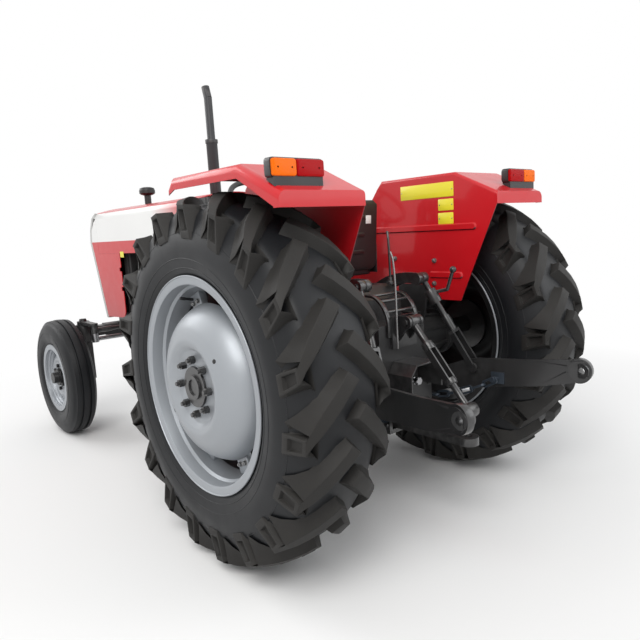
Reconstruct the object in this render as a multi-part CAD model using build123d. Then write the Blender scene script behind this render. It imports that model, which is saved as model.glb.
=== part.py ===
"""Two-wheel-drive farm tractor with flat-top fenders and a rear three-point linkage.

Millimetres. +X forward, +Y to the driver's left, +Z up. Sizes along X are measured from the
rear axle and every piece is shifted once, at export, so that the origin ends up on the ground
at the middle of the tractor's length and width.
"""
from build123d import *
from math import atan2, cos, degrees, hypot, radians, sin
import os

os.makedirs("parts", exist_ok=True)

# Wheels and stance
rear_tyre_radius = 700
rear_tyre_width = 360
rear_lug_height = 38
rear_lug_count = 19
rear_lug_start = -1.0
rear_rim_seat_radius = 378
rear_rim_flange_radius = 410
rear_rim_width = 330
rear_disc_radius = 300
rear_track = 1320
front_tyre_radius = 378
front_tyre_width = 170
front_rim_seat_radius = 198
front_rim_flange_radius = 222
front_rim_width = 140
front_track = 1240
wheelbase = 2215
rim_thickness = 9
wheel_nut_circle = 203
wheel_nut_count = 8

# Running clearances
sheet_gap = 0.3
shaft_gap = 0.5
pivot_gap = 6

# Rear transmission
axle_case_half_width = 180
axle_case_front = 300
axle_case_rear = -270
axle_case_bottom = 440
axle_case_shoulder = 720
axle_case_neck_half_width = 140
axle_case_top = 840
case_flange = 18
trumpet_inner_radius = 150
trumpet_outer_radius = 95
trumpet_end = 560
gearbox_front = 860
gearbox_half_width = 165
gearbox_bottom = 470
gearbox_top = 860
bell_length = 250
bell_half_width = 215
lift_cover_height = 150
lift_cover_half_width = 128
lift_cover_rear = -150
lift_cover_front = 290

# Engine
engine_length = 680
engine_half_width = 135
crank_height = 700
block_top = 980
head_height = 95
rocker_cover_height = 85
sump_depth = 195
timing_case = 55
fan_radius = 205
fan_height = 960
fan_blade_count = 6
radiator_behind_axle = 230
radiator_thickness = 75
radiator_half_width = 225
radiator_top = 1360
support_top = 736

# Hood and nose
hood_rear = 930
hood_half_width = 262
hood_top = 1442
hood_crown = 38
hood_shoulder = 40
hood_skirt = 1165
hood_sheet = 5
nose_overhang = 265
nose_foot_overhang = 115
nose_foot_z = 715
nose_frame = 30
nose_bar_count = 11
side_panel_width = 340
headlamp_width = 150
headlamp_height = 86
exhaust_x = 1400
exhaust_y = -150
exhaust_tip = 2150
exhaust_pipe_radius = 24
precleaner_behind_axle = 165

# Fenders
fender_inner = 390
fender_outer = 752
fender_sheet = 4
fender_top = 1470
fender_front_x = 240
fender_rear_x = -488
fender_slope_x = -262
fender_rear_top = 1368
fender_rear_bottom = 1316
fender_lip = 48
fender_edge_radius = 28
fender_panel_bottom = 888
fender_rib = 9
footplate_height = 610
lamp_x = -460
lamp_mid_y = 642
lamp_width = 210
lamp_height = 62
lamp_depth = 52
lamp_bottom = 1408

# Front axle
beam_top = 690
beam_height = 85
beam_depth = 100
beam_boss = 62
beam_pin_radius = 22
kingpin_y = 470
kingpin_radius = 33
steering_arm = 200

# Rear linkage
lower_pivot_x = -60
lower_pivot_z = 480
lower_pivot_y = 215
lower_ball_x = -875
lower_ball_z = 640
lower_ball_y = 390
lower_ball_bore = 28.7
lower_ball_length = 45
lower_ball_ring = 50
lower_plate = 14
lower_eye_half = 18
lower_pin_radius = 14
lift_point_share = 0.45
lift_point_rise = 62
rock_shaft_x = 50
rock_shaft_z = 900
rock_shaft_radius = 32
lift_pin_radius = 12
lift_arm_y = 160
lift_arm_thickness = 28
lift_arm_reach = 275
lift_arm_rise = 110
chain_wire = 9
chain_links = 8
top_pin_x = -330
top_pin_z = 850
top_link_length = 430
top_link_hang = 40
top_eye_bore = 25.5
top_eye_length = 51
pto_height = 600
pto_radius = 17.45
pto_length = 76
pto_plate = 5
drawbar_height = 400
drawbar_pin = 32
drawbar_reach = -640

# Driver's place
seat_back_x = 75
seat_front_x = 510
seat_half_width = 235
seat_top = 1095
seat_back_top = 1374
wheel_hub_x = 640
wheel_hub_z = 1395
wheel_rim_radius = 210
wheel_tilt = 38

rear_reach = lower_ball_x - lower_ball_ring
front_reach = wheelbase + front_tyre_radius
frame_shift = Pos(-(rear_reach + front_reach) / 2, 0, 0)


def write(name, shape):
    """Move a finished piece into the shared frame and write it."""
    export_step(frame_shift * shape, f"parts/{name}.step")


def block(x0, x1, y0, y1, z0, z1):
    """Box between two corners."""
    return Pos((x0 + x1) / 2, (y0 + y1) / 2, (z0 + z1) / 2) * Box(x1 - x0, y1 - y0, z1 - z0)


def rod_x(radius, x0, x1, y=0, z=0):
    return Pos((x0 + x1) / 2, y, z) * Rot(0, 90, 0) * Cylinder(radius, x1 - x0)


def rod_y(radius, y0, y1, x=0, z=0):
    return Pos(x, (y0 + y1) / 2, z) * Rot(90, 0, 0) * Cylinder(radius, y1 - y0)


def rod_z(radius, z0, z1, x=0, y=0):
    return Pos(x, y, (z0 + z1) / 2) * Cylinder(radius, z1 - z0)


def rod_between(start, end, radius):
    """Round bar from one point to another."""
    start, end = Vector(*start), Vector(*end)
    return extrude(Plane(start, z_dir=end - start) * Circle(radius), (end - start).length)


def slab_y(points, y0, y1):
    """Outline drawn in X and Z, as thick as y0 to y1."""
    sketch = make_face(Polyline(*points, close=True))
    side = Plane((0, y1, 0), x_dir=(1, 0, 0), z_dir=(0, -1, 0))
    return extrude(side * sketch, y1 - y0)


def slab_z(points, z0, z1):
    """Outline drawn in X and Y, as thick as z0 to z1."""
    return extrude(Plane((0, 0, z0)) * make_face(Polyline(*points, close=True)), z1 - z0)


def slab_x(points, x0, x1):
    """Outline drawn in Y and Z, as thick as x0 to x1."""
    side = Plane((x0, 0, 0), x_dir=(0, 1, 0), z_dir=(1, 0, 0))
    return extrude(side * make_face(Polyline(*points, close=True)), x1 - x0)


def plate_y(outline, y0, y1):
    """Face drawn in X and Z, as thick as y0 to y1."""
    return extrude(Plane((0, y1, 0), x_dir=(1, 0, 0), z_dir=(0, -1, 0)) * outline, y1 - y0)


def turned_y(outline):
    """Ring or disc turned about the Y axis from an outline of (y, radius)."""
    return revolve(Plane.YZ * outline, Axis.Y)


def mirrored(shape):
    """The same piece on the driver's right."""
    return mirror(shape, Plane.XZ)


def rounded(shape, axis, radius):
    """All edges along one axis rounded."""
    return fillet(shape.edges().filter_by(axis), radius)


def rim(rim_width, seat, flange, well_depth):
    """Drop-centre rim: two flanges, two bead seats, a ledge and the well between them."""
    half = rim_width / 2
    inside = seat - rim_thickness
    seat_end, ledge_end, well_end = 0.34 * rim_width, 0.26 * rim_width, 0.16 * rim_width
    ledge = 0.45 * well_depth
    outer = [(half, flange), (half - rim_thickness, flange), (half - rim_thickness, seat),
             (seat_end, seat), (seat_end - ledge, seat - ledge), (ledge_end, seat - ledge),
             (well_end, seat - well_depth)]
    inner = [(half, inside), (seat_end + 3, inside), (seat_end - ledge + 3, inside - ledge),
             (ledge_end + 3, inside - ledge), (well_end + 3, inside - well_depth)]
    section = Polyline(*outer, *[(-y, r) for y, r in reversed(outer)], *[(-y, r) for y, r in inner],
                       *reversed(inner), close=True)
    return turned_y(make_face(section))


# Rear tyre, modelled with its middle plane at y = 0 and the outside towards +Y
bead = rear_rim_width / 2 - rim_thickness
tread_half = 138
tread_edge = rear_tyre_radius - 60
tread_crown = rear_tyre_radius - rear_lug_height
lug_end = rear_tyre_width / 2 - 2.5
lug_flank = 9
# middle of the bar: y, degrees round the wheel from its nose, width, skew from the rolling direction
lug_bar = ((10, 1.4, 51, 50), (112, 10.0, 43, 39), (lug_end, 17.0, 37, 0))
# foot on the sidewall: radius, degrees, width, inner y
lug_foot = ((rear_tyre_radius - 50, 17.0, 40, 120), (rear_tyre_radius - 186, 21.2, 86, 150))


def spoke_direction(turn):
    """Outward and rolling directions at an angle from straight ahead, turning up over the top."""
    outward = Vector(cos(radians(turn)), 0, sin(radians(turn)))
    rolling = Vector(-sin(radians(turn)), 0, cos(radians(turn)))
    return outward, rolling


def lug_bar_section(y, turn, width, skew):
    """Cross-section of a lug: narrow at the tread's crown, wider at its root."""
    outward, rolling = spoke_direction(turn)
    across = rolling * cos(radians(skew)) - Vector(0, sin(radians(skew)), 0)
    top = rear_tyre_radius - 0.4 - 0.0014 * y ** 2
    root = top - rear_lug_height - 12
    half = width / 2
    plane = Plane((0, y, 0), x_dir=across, z_dir=across.cross(outward))
    return plane * make_face(Polyline((-half - lug_flank, root), (half + lug_flank, root),
                                      (half, top), (-half, top), close=True))


def lug_foot_section(radius, turn, width, inner):
    """Section of the part of a lug that runs down the sidewall."""
    outward, rolling = spoke_direction(turn)
    plane = Plane(outward * radius, x_dir=rolling, z_dir=outward)
    half = width / 2
    return plane * make_face(Polyline((-half, -lug_end), (half, -lug_end), (half, -inner), (-half, -inner),
                                      close=True))


def rear_tyre():
    """Crowned carcass with hooked lugs, those of one side half a pitch behind the other's."""
    half = [(bead, rear_rim_seat_radius), (bead, rear_rim_flange_radius + 1), (rear_tyre_width / 2, 500),
            (rear_tyre_width / 2 - 14, 605), (tread_half, tread_edge), (60, tread_crown - 5)]
    carcass = turned_y(make_face(Polyline(*half, *[(-y, r) for y, r in reversed(half)], close=True)))
    lug = loft([lug_bar_section(*row) for row in lug_bar], ruled=True)
    lug += loft([lug_foot_section(*row) for row in lug_foot], ruled=True)
    pitch = 360 / rear_lug_count
    lugs = []
    for index in range(rear_lug_count):
        turn = rear_lug_start + index * pitch
        lugs.append(Rot(0, -turn, 0) * lug)
        lugs.append(mirrored(Rot(0, -turn - pitch / 2, 0) * lug))
    return carcass + lugs


# Rear wheel
disc_face = rear_rim_width / 2
disc_edge = 68
disc_flat_radius = 136
disc_crest_radius = 174
disc_crest = 22
disc_sheet = 12
pilot_radius = 76
rim_lug_count = 8
rim_lug_width = 74


def rear_disc():
    """Centre disc: a sunk flat for the nuts, a round crest and a dome that falls to the rim lugs."""
    top = disc_face + disc_crest
    low = disc_face - disc_sheet
    face = Line((disc_face, pilot_radius), (disc_face, disc_flat_radius))
    wall = Line(face @ 1, (top - 6, disc_crest_radius - 20))
    crest = ThreePointArc(wall @ 1, (top, disc_crest_radius), (top - 6, disc_crest_radius + 24))
    dome = ThreePointArc(crest @ 1, (top - 44, 262), (disc_edge + disc_sheet, rear_disc_radius))
    edge = Line(dome @ 1, (disc_edge, rear_disc_radius - 6))
    under = ThreePointArc(edge @ 1, (top - 56, 254), (top - 20, disc_crest_radius + 20))
    step = Line(under @ 1, (top - 20, disc_crest_radius - 14))
    slope = Line(step @ 1, (low, disc_flat_radius + 4))
    back = Line(slope @ 1, (low, pilot_radius))
    disc = turned_y(make_face([face, wall, crest, dome, edge, under, step, slope, back,
                               Line(back @ 1, face @ 0)]))
    for turn in (55, 235):
        disc -= Rot(0, turn, 0) * rod_y(8, 0, top + 5, z=205)
    return disc


def rear_rim_with_lugs():
    """Rim with the welded lugs that the centre disc bolts to."""
    ring = rim(rear_rim_width, rear_rim_seat_radius, rear_rim_flange_radius, 22)
    inner = rear_disc_radius - 34
    outer = rear_rim_seat_radius - 26
    lug = slab_x([(disc_edge - 14, inner), (disc_edge + 1, inner), (disc_edge + 1, outer),
                  (disc_edge - 34, outer), (disc_edge - 34, outer - 20)],
                 -rim_lug_width / 2, rim_lug_width / 2)
    for index in range(rim_lug_count):
        ring += Rot(0, 22.5 + index * 360 / rim_lug_count, 0) * lug
    return ring


def rear_hub():
    """Axle flange through the disc, with the wheel nuts on their circle."""
    flange_back = disc_face - disc_sheet
    hub = rod_y(disc_flat_radius - 4, flange_back - 26, flange_back)
    hub += rod_y(pilot_radius - 1, flange_back, disc_face + 8)
    hub += rod_y(46, disc_face + 8, disc_face + 16)
    hub -= rod_y(30, disc_face + 10, disc_face + 20)
    for index in range(wheel_nut_count):
        nut = Plane((0, disc_face, wheel_nut_circle / 2), z_dir=(0, 1, 0)) * RegularPolygon(15, 6)
        stud = rod_y(8, disc_face, disc_face + 30, z=wheel_nut_circle / 2)
        hub += Rot(0, index * 360 / wheel_nut_count, 0) * (extrude(nut, 20) + stud)
    return hub


rear_place = Pos(0, rear_track / 2, rear_tyre_radius)
rear_pieces = {
    "rear_tyre": rear_tyre(),
    "rear_wheel": rear_rim_with_lugs() + rear_disc(),
    "rear_hub": rear_hub(),
}
for name, shape in rear_pieces.items():
    write(name + "_left", rear_place * shape)
    write(name + "_right", mirrored(rear_place * shape))

# Front wheels
front_disc_y = 34
front_hub_radius = 62
front_hub_end = front_rim_width / 2 + 12
spindle_radius = 24


def front_tyre():
    """Narrow ribbed tyre: three ribs with two grooves between them."""
    front_bead = front_rim_width / 2 - rim_thickness
    half_width = front_tyre_width / 2
    wall = ThreePointArc((front_bead, front_rim_flange_radius + 1), (half_width, 290), (68, 350))
    # grooves and ribs from the right shoulder to the left: y, depth under the crown
    ribs = ((56, 8), (26, 1), (22, 13), (15, 13), (11, 0))
    right = [(y, front_tyre_radius - depth) for y, depth in ribs]
    tread = Polyline(wall @ 1, *right, *[(-y, r) for y, r in reversed(right)], (-68, 350))
    other = ThreePointArc(tread @ 1, (-half_width, 290), (-front_bead, front_rim_flange_radius + 1))
    beads = Polyline(other @ 1, (-front_bead, front_rim_seat_radius), (front_bead, front_rim_seat_radius),
                     wall @ 0)
    return turned_y(make_face([wall, tread, other, beads]))


def front_rim_and_disc():
    """Front rim with its pressed disc."""
    ring = rim(front_rim_width, front_rim_seat_radius, front_rim_flange_radius, 14)
    web = front_rim_seat_radius - 14 - rim_thickness
    slope = Polyline((front_disc_y, 55), (front_disc_y, 100), (front_disc_y + 9, 116), (front_disc_y, 138),
                     (front_disc_y - 28, web + 2), (front_disc_y - 36, web + 2), (front_disc_y - 8, 138),
                     (front_disc_y + 1, 116), (front_disc_y - 8, 100), (front_disc_y - 8, 55), close=True)
    return ring + turned_y(make_face(slope))


def front_hub():
    """Bearing hub with its flange, nuts and grease cap, bored for the spindle."""
    back = front_disc_y - 8
    hub = rod_y(92, back - 14, back) + rod_y(front_hub_radius - 8, -62, front_disc_y)
    hub += rod_y(54, front_disc_y, front_disc_y + 18)
    hub += rod_y(36, front_disc_y + 18, front_hub_end)
    hub -= rod_y(spindle_radius + shaft_gap, -63, front_disc_y + 12)
    for index in range(6):
        nut = Plane((0, front_disc_y, 76), z_dir=(0, 1, 0)) * RegularPolygon(12, 6)
        hub += Rot(0, index * 60, 0) * extrude(nut, 16)
    return hub


front_place = Pos(wheelbase, front_track / 2, front_tyre_radius)
front_pieces = {
    "front_tyre": front_tyre(),
    "front_wheel": front_rim_and_disc() + front_hub(),
}
for name, shape in front_pieces.items():
    write(name + "_left", front_place * shape)
    write(name + "_right", mirrored(front_place * shape))

# Front axle, kingpins and steering linkage
front_x = wheelbase
beam_bottom = beam_top - beam_height
beam_middle = beam_bottom + 40
beam_end = kingpin_y - kingpin_radius
kingpin_tube_top = beam_top + 12
kingpin_tube_bottom = beam_bottom - 22
knuckle_foot = 430
arm_bottom = kingpin_tube_top + 1
arm_top = arm_bottom + 22
tie_rod_height = arm_bottom - 24
steering_stroke_height = tie_rod_height - 57

beam = slab_x([(-330, beam_top), (330, beam_top), (330, beam_bottom + 4), (130, beam_bottom - 20),
               (-130, beam_bottom - 20), (-330, beam_bottom + 4)], front_x - beam_depth / 2,
              front_x + beam_depth / 2)
beam = rounded(beam, Axis.Y, 10)
for side in (1, -1):
    inner, outer = sorted((side * 260, side * beam_end))
    beam += block(front_x - beam_depth / 2 + 9, front_x + beam_depth / 2 - 9, inner, outer,
                  beam_bottom + 12, beam_top - 8)
    tube = rod_z(kingpin_radius + 14, kingpin_tube_bottom, kingpin_tube_top, front_x, side * kingpin_y)
    beam += tube - rod_z(kingpin_radius - 9 + shaft_gap, 0, 2000, front_x, side * kingpin_y)
beam += rod_x(52, front_x - beam_boss, front_x + beam_boss, z=beam_middle)
beam += rod_x(beam_pin_radius - 0.2, front_x - beam_boss - 44, front_x + beam_boss + 44, z=beam_middle)
write("front_axle_beam", beam)


def knuckle():
    """Kingpin, its foot, the spindle and the steering arm on top, left side."""
    pin = rod_z(kingpin_radius - 9, knuckle_foot - 10, arm_top + 8, front_x, kingpin_y)
    foot = block(front_x - 38, front_x + 38, kingpin_y - 38, kingpin_y + 40,
                 front_tyre_radius - 46, kingpin_tube_bottom - 4)
    foot = rounded(foot, Axis.Z, 14)
    spindle = rod_y(spindle_radius, kingpin_y, front_track / 2 + front_disc_y + 8, front_x,
                    front_tyre_radius)
    spindle += rod_y(spindle_radius + 14, kingpin_y + 38, kingpin_y + 74, front_x, front_tyre_radius)
    half = kingpin_radius + 5
    arm = slab_z([(front_x, kingpin_y - half), (front_x - 70, kingpin_y - 22),
                  (front_x - steering_arm, kingpin_y - 20), (front_x - steering_arm, kingpin_y + 20),
                  (front_x - 70, kingpin_y + 22), (front_x, kingpin_y + half)], arm_bottom, arm_top)
    arm += rod_z(half, arm_bottom, arm_top, front_x, kingpin_y)
    arm += rod_z(24, arm_bottom, arm_top, front_x - steering_arm, kingpin_y)
    cap = extrude(Plane((front_x, kingpin_y, arm_top)) * RegularPolygon(22, 6), 16)
    return pin + foot + spindle + arm + cap


write("knuckle_left", knuckle())
write("knuckle_right", mirrored(knuckle()))

arm_end_x = front_x - steering_arm
tie_rod = rod_y(13, -kingpin_y + 20, kingpin_y - 20, arm_end_x, tie_rod_height)
for side in (1, -1):
    tie_rod += rod_z(22, tie_rod_height - 20, arm_bottom - sheet_gap, arm_end_x, side * kingpin_y)
    inner, outer = sorted((side * (kingpin_y - 110), side * (kingpin_y - 18)))
    tie_rod += rod_y(17, inner, outer, arm_end_x, tie_rod_height)
write("tie_rod", tie_rod)

cylinder_inner = -300
cylinder_outer = 40
barrel_radius = 28
barrel = rod_y(barrel_radius, cylinder_inner, cylinder_outer, arm_end_x, steering_stroke_height)
barrel += rod_y(barrel_radius + 4, cylinder_outer - 26, cylinder_outer, arm_end_x,
                steering_stroke_height)
for y in (-250, -130):
    barrel += slab_y([(arm_end_x - 18, steering_stroke_height - 20),
                      (arm_end_x + 20, steering_stroke_height - 20),
                      (front_x - beam_depth / 2, beam_bottom + 6),
                      (front_x - beam_depth / 2, beam_bottom + 46),
                      (arm_end_x - 18, steering_stroke_height + 18)], y, y + 14)
barrel -= rod_y(14 + shaft_gap, cylinder_inner + 30, cylinder_outer + 1, arm_end_x,
                steering_stroke_height)
write("steering_cylinder", barrel)

ram = rod_y(14, cylinder_inner + 160, kingpin_y - 20, arm_end_x, steering_stroke_height)
ram += rod_z(22, steering_stroke_height - 20, tie_rod_height - 20 - sheet_gap, arm_end_x, kingpin_y)
write("steering_ram", ram)

# Engine
engine_rear = gearbox_front + bell_length
bell_front = engine_rear
engine_front = engine_rear + engine_length
sump_bottom = crank_height - sump_depth
head_top = block_top + head_height
cover_top = head_top + rocker_cover_height
engine = block(engine_rear, engine_front, -engine_half_width, engine_half_width, crank_height - 60,
               block_top)
engine = rounded(engine, Axis.X, 16)
engine += block(engine_rear, engine_front, -engine_half_width - 12, engine_half_width + 12,
                crank_height - 60, crank_height - 40)
engine += block(engine_rear, engine_rear + 24, -bell_half_width + 20, bell_half_width - 20,
                gearbox_bottom + 60, gearbox_top + 20)
engine += rounded(block(engine_rear + 20, engine_front - 40, -engine_half_width + 15,
                        engine_half_width - 15, block_top, head_top), Axis.Z, 20)
case = slab_x([(-110, crank_height - 90), (110, crank_height - 90),
               (engine_half_width + 15, crank_height - 20), (engine_half_width + 15, crank_height + 160),
               (80, block_top + 10), (-80, block_top + 10), (-engine_half_width - 5, crank_height + 160),
               (-engine_half_width - 5, crank_height - 20)],
              engine_front, engine_front + timing_case)
engine += rounded(case, Axis.X, 18)
belt_x = engine_front + timing_case + 6
for z, radius in ((crank_height, 72), (fan_height, 52)):
    engine += rod_x(radius, belt_x, belt_x + 30, 0, z) + rod_x(20, engine_front, belt_x, 0, z)
for index in range(4):
    x = engine_rear + 80 + index * 150
    engine += block(x, x + 70, engine_half_width - 4, engine_half_width + 8, crank_height + 20,
                    block_top - 190)
cover = block(engine_rear + 50, engine_front - 70, -70, 70, head_top, cover_top)
cover = fillet(cover.edges().filter_by(Axis.X).group_by(Axis.Z)[-1], 28)
cover = rounded(cover, Axis.Z, 24)
cover += rod_z(24, cover_top - 5, cover_top + 22, engine_rear + 150, 0)
sump = slab_y([(engine_rear, crank_height - 60), (engine_rear, sump_bottom + 10),
               (engine_front - 260, sump_bottom), (engine_front - 190, sump_bottom + 70),
               (engine_front, sump_bottom + 80), (engine_front, crank_height - 60)],
              -engine_half_width + 5, engine_half_width - 5)
sump = rounded(sump, Axis.Y, 14)
write("engine_block", engine + cover + sump)

pump_end = engine_front - 110
pump = rounded(block(pump_end - 180, pump_end, engine_half_width, engine_half_width + 75,
                     block_top - 180, block_top - 75), Axis.X, 14)
pump += rod_x(58, pump_end, engine_front, engine_half_width + 68, block_top - 130)
filter_y = engine_half_width + 47
filter_x = pump_end - 320
filters = rounded(block(filter_x, filter_x + 120, engine_half_width, filter_y + 28, block_top - 20,
                        block_top + 10), Axis.Z, 10)
for x in (filter_x + 30, filter_x + 90):
    filters += rod_z(28, block_top - 140, block_top - 20, x, filter_y)
    filters += rod_z(12, block_top - 152, block_top - 140, x, filter_y)
starter = rod_x(52, engine_rear + 24, engine_rear + 250, -engine_half_width - 55, 690)
starter += rod_x(28, engine_rear + 60, engine_rear + 210, -engine_half_width - 70, 765)
starter += block(engine_rear + 24, engine_rear + 60, -engine_half_width - 95, -engine_half_width,
                 crank_height - 40, crank_height + 40)
alternator_y = -engine_half_width - 88
alternator = rod_x(68, engine_front - 170, engine_front - 30, alternator_y, block_top - 75)
alternator += rod_x(36, engine_front - 30, engine_front + 10, alternator_y, block_top - 75)
alternator += block(engine_front - 130, engine_front - 70, alternator_y + 28, -engine_half_width,
                    block_top - 130, block_top - 100)
write("engine_accessories", pump + filters + starter + alternator)
manifold_bottom = head_top - 80


def manifold():
    """Round-edged pipe along the head with four branches to its ports."""
    pipe = rounded(block(engine_rear + 40, engine_front - 90, engine_half_width + 4, engine_half_width + 56,
                         manifold_bottom, manifold_bottom + 60), Axis.X, 16)
    for index in range(4):
        x = engine_rear + 58 + index * 150
        pipe += block(x, x + 44, engine_half_width - 15, engine_half_width + 8, manifold_bottom + 5,
                      manifold_bottom + 55)
    return pipe


write("manifolds", manifold() + mirrored(manifold()))

fan_x = belt_x + 30
fan = rod_x(45, fan_x, fan_x + 45, 0, fan_height)
for index in range(fan_blade_count):
    blade = Pos(fan_x + 24, 0, 0) * Rot(0, 0, 28) * Box(5, 74, fan_radius - 30)
    blade = Pos(0, 0, (fan_radius - 30) / 2 + 25) * blade
    fan += Pos(0, 0, fan_height) * Rot(index * 360 / fan_blade_count, 0, 0) * blade
write("fan", fan)
radiator_x = front_x - radiator_behind_axle
core_back = radiator_x - radiator_thickness / 2
core_front = radiator_x + radiator_thickness / 2
radiator = block(core_back + 12, core_front - 12, -radiator_half_width + 14, radiator_half_width - 14,
                 support_top + 60, radiator_top - 70)
for z0, z1 in ((support_top, support_top + 62), (radiator_top - 72, radiator_top)):
    radiator += rounded(block(core_back, core_front, -radiator_half_width, radiator_half_width, z0, z1),
                        Axis.Y, 16)
for side in (1, -1):
    y0, y1 = sorted((side * (radiator_half_width - 16), side * radiator_half_width))
    radiator += block(core_back + 6, core_front - 6, y0, y1, support_top + 40, radiator_top - 40)
radiator += rod_z(26, radiator_top - 4, radiator_top + 16, radiator_x, 90)
shroud = block(core_back - 26, core_back + 14, -radiator_half_width + 6, radiator_half_width - 6,
               fan_height - fan_radius - 14, fan_height + fan_radius + 14)
radiator += shroud - rod_x(fan_radius + 12, core_back - 30, core_back + 12, 0, fan_height)
write("radiator", radiator)
hood_front = front_x + nose_overhang - 130
nose_forward = front_x + nose_overhang
nose_foot_x = front_x + nose_foot_overhang
support_back = engine_front + timing_case
support_step = nose_foot_x - nose_frame - 12
support = block(support_back, support_step, -150, 150, support_top - 28, support_top)
support += block(support_back, support_back + 22, -150, 150, crank_height - 70, support_top)
support += block(front_x + beam_boss + 2, support_step + 120, -150, 150, beam_bottom + 15,
                 nose_foot_z - sheet_gap)
support += block(front_x - 160, support_step + 120, -150, 150, beam_top + 14, nose_foot_z - sheet_gap)
for x0 in (front_x - beam_boss - 44, front_x + beam_boss + 2):
    support += block(x0, x0 + 42, -95, 95, beam_bottom - 15, nose_foot_z - sheet_gap)
    support -= rod_x(beam_pin_radius, x0 - 1, x0 + 121, 0, beam_middle)
support -= block(support_back - 1, support_back + 62, -84, 84, crank_height - 90, support_top + 1)
write("front_support", support)

# Gearbox, bell housing, rear axle
gearbox = rounded(block(axle_case_front, gearbox_front, -gearbox_half_width, gearbox_half_width,
                        gearbox_bottom, gearbox_top), Axis.X, 26)
for x0 in (axle_case_front, gearbox_front - case_flange):
    gearbox += rounded(block(x0, x0 + case_flange, -gearbox_half_width - 14, gearbox_half_width + 14,
                             gearbox_bottom - 12, gearbox_top + 12), Axis.X, 30)
bell_flange = 30
# bell housing: x, half width, lower and upper z
bell_ends = ((gearbox_front, gearbox_half_width, gearbox_bottom + 8, gearbox_top + 4),
             (bell_front - bell_flange, bell_half_width - 12, gearbox_bottom + 14, gearbox_top + 30))
bell = loft([Plane((x, 0, (z0 + z1) / 2), x_dir=(0, 1, 0), z_dir=(1, 0, 0))
             * RectangleRounded(2 * half, z1 - z0, 44) for x, half, z0, z1 in bell_ends], ruled=True)
bell += rounded(block(bell_front - bell_flange, bell_front, -bell_half_width, bell_half_width,
                      gearbox_bottom + 8, gearbox_top + 40), Axis.X, 50)
gearbox += bell
for side in (1, -1):
    y0, y1 = sorted((side * (gearbox_half_width - 2), side * (gearbox_half_width + 12)))
    gearbox += rounded(block(axle_case_front + 110, axle_case_front + 300, y0, y1, gearbox_bottom + 90,
                             gearbox_top - 90), Axis.Y, 30)
turret_x = gearbox_front - 200
gearbox += rod_z(52, gearbox_top - 2, gearbox_top + 34, turret_x, 0)
gearbox += rod_z(34, gearbox_top + 30, gearbox_top + 58, turret_x, 0)
write("gearbox", gearbox)
levers = rod_z(30, gearbox_top + 58, gearbox_top + 70, turret_x, 0)
for x, y, lean, length in ((turret_x, -14, 60, 330), (turret_x, 16, -40, 210)):
    foot = (x, y, gearbox_top + 64)
    tip = (x - 70, y + lean, gearbox_top + 64 + length)
    levers += rod_between(foot, tip, 7)
    levers += Pos(*tip) * Sphere(19)
write("gear_levers", levers)

case_half = axle_case_half_width - 14
axle_case = rounded(block(axle_case_rear + case_flange, axle_case_front - case_flange, -case_half,
                          case_half, axle_case_bottom, axle_case_shoulder), Axis.X, 34)
for x0 in (axle_case_rear, axle_case_front - case_flange):
    axle_case += rounded(block(x0, x0 + case_flange, -axle_case_half_width + 2, axle_case_half_width - 2,
                               axle_case_bottom - 6, axle_case_shoulder + 8), Axis.X, 40)
axle_case += block(axle_case_rear, axle_case_front, -axle_case_neck_half_width, axle_case_neck_half_width,
                   axle_case_shoulder - 20, axle_case_top)
for side in (1, -1):
    y0, y1 = sorted((side * 100, side * axle_case_half_width))
    axle_case += rod_y(trumpet_inner_radius - 12, y0, y1, 0, rear_tyre_radius)
trumpet_profile = Polyline((axle_case_half_width, 0), (axle_case_half_width, trumpet_inner_radius + 18),
                           (axle_case_half_width + 24, trumpet_inner_radius + 18),
                           (axle_case_half_width + 24, trumpet_inner_radius - 12),
                           (axle_case_half_width + 150, trumpet_outer_radius + 12),
                           (trumpet_end - 40, trumpet_outer_radius),
                           (trumpet_end - 40, trumpet_outer_radius + 22),
                           (trumpet_end, trumpet_outer_radius + 22), (trumpet_end, 0), close=True)
hub_back = rear_track / 2 + disc_face - disc_sheet - 26
trumpet = turned_y(make_face(trumpet_profile))
for index in range(8):
    rib = slab_x([(axle_case_half_width + 20, 60), (axle_case_half_width + 20, trumpet_inner_radius + 6),
                  (axle_case_half_width + 150, trumpet_outer_radius + 20),
                  (trumpet_end - 30, trumpet_outer_radius + 10), (trumpet_end - 30, 60)], -6, 6)
    trumpet += Rot(0, 22.5 + index * 45, 0) * rib
trumpet = Pos(0, 0, rear_tyre_radius) * trumpet
trumpet += rod_y(42, trumpet_end, hub_back - shaft_gap, 0, rear_tyre_radius)
carrier = slab_y([(-60, rear_tyre_radius + 60), (60, rear_tyre_radius + 60), (90, fender_panel_bottom + 30),
                  (90, fender_panel_bottom + 70), (-90, fender_panel_bottom + 70),
                  (-90, fender_panel_bottom + 30)], fender_inner - 14, fender_inner)
carrier += block(-50, 50, axle_case_half_width + 160, fender_inner, rear_tyre_radius + 60,
                 rear_tyre_radius + trumpet_outer_radius + 30)
carrier -= trumpet
write("axle_trumpets", trumpet + mirrored(trumpet) + carrier + mirrored(carrier))

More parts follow.
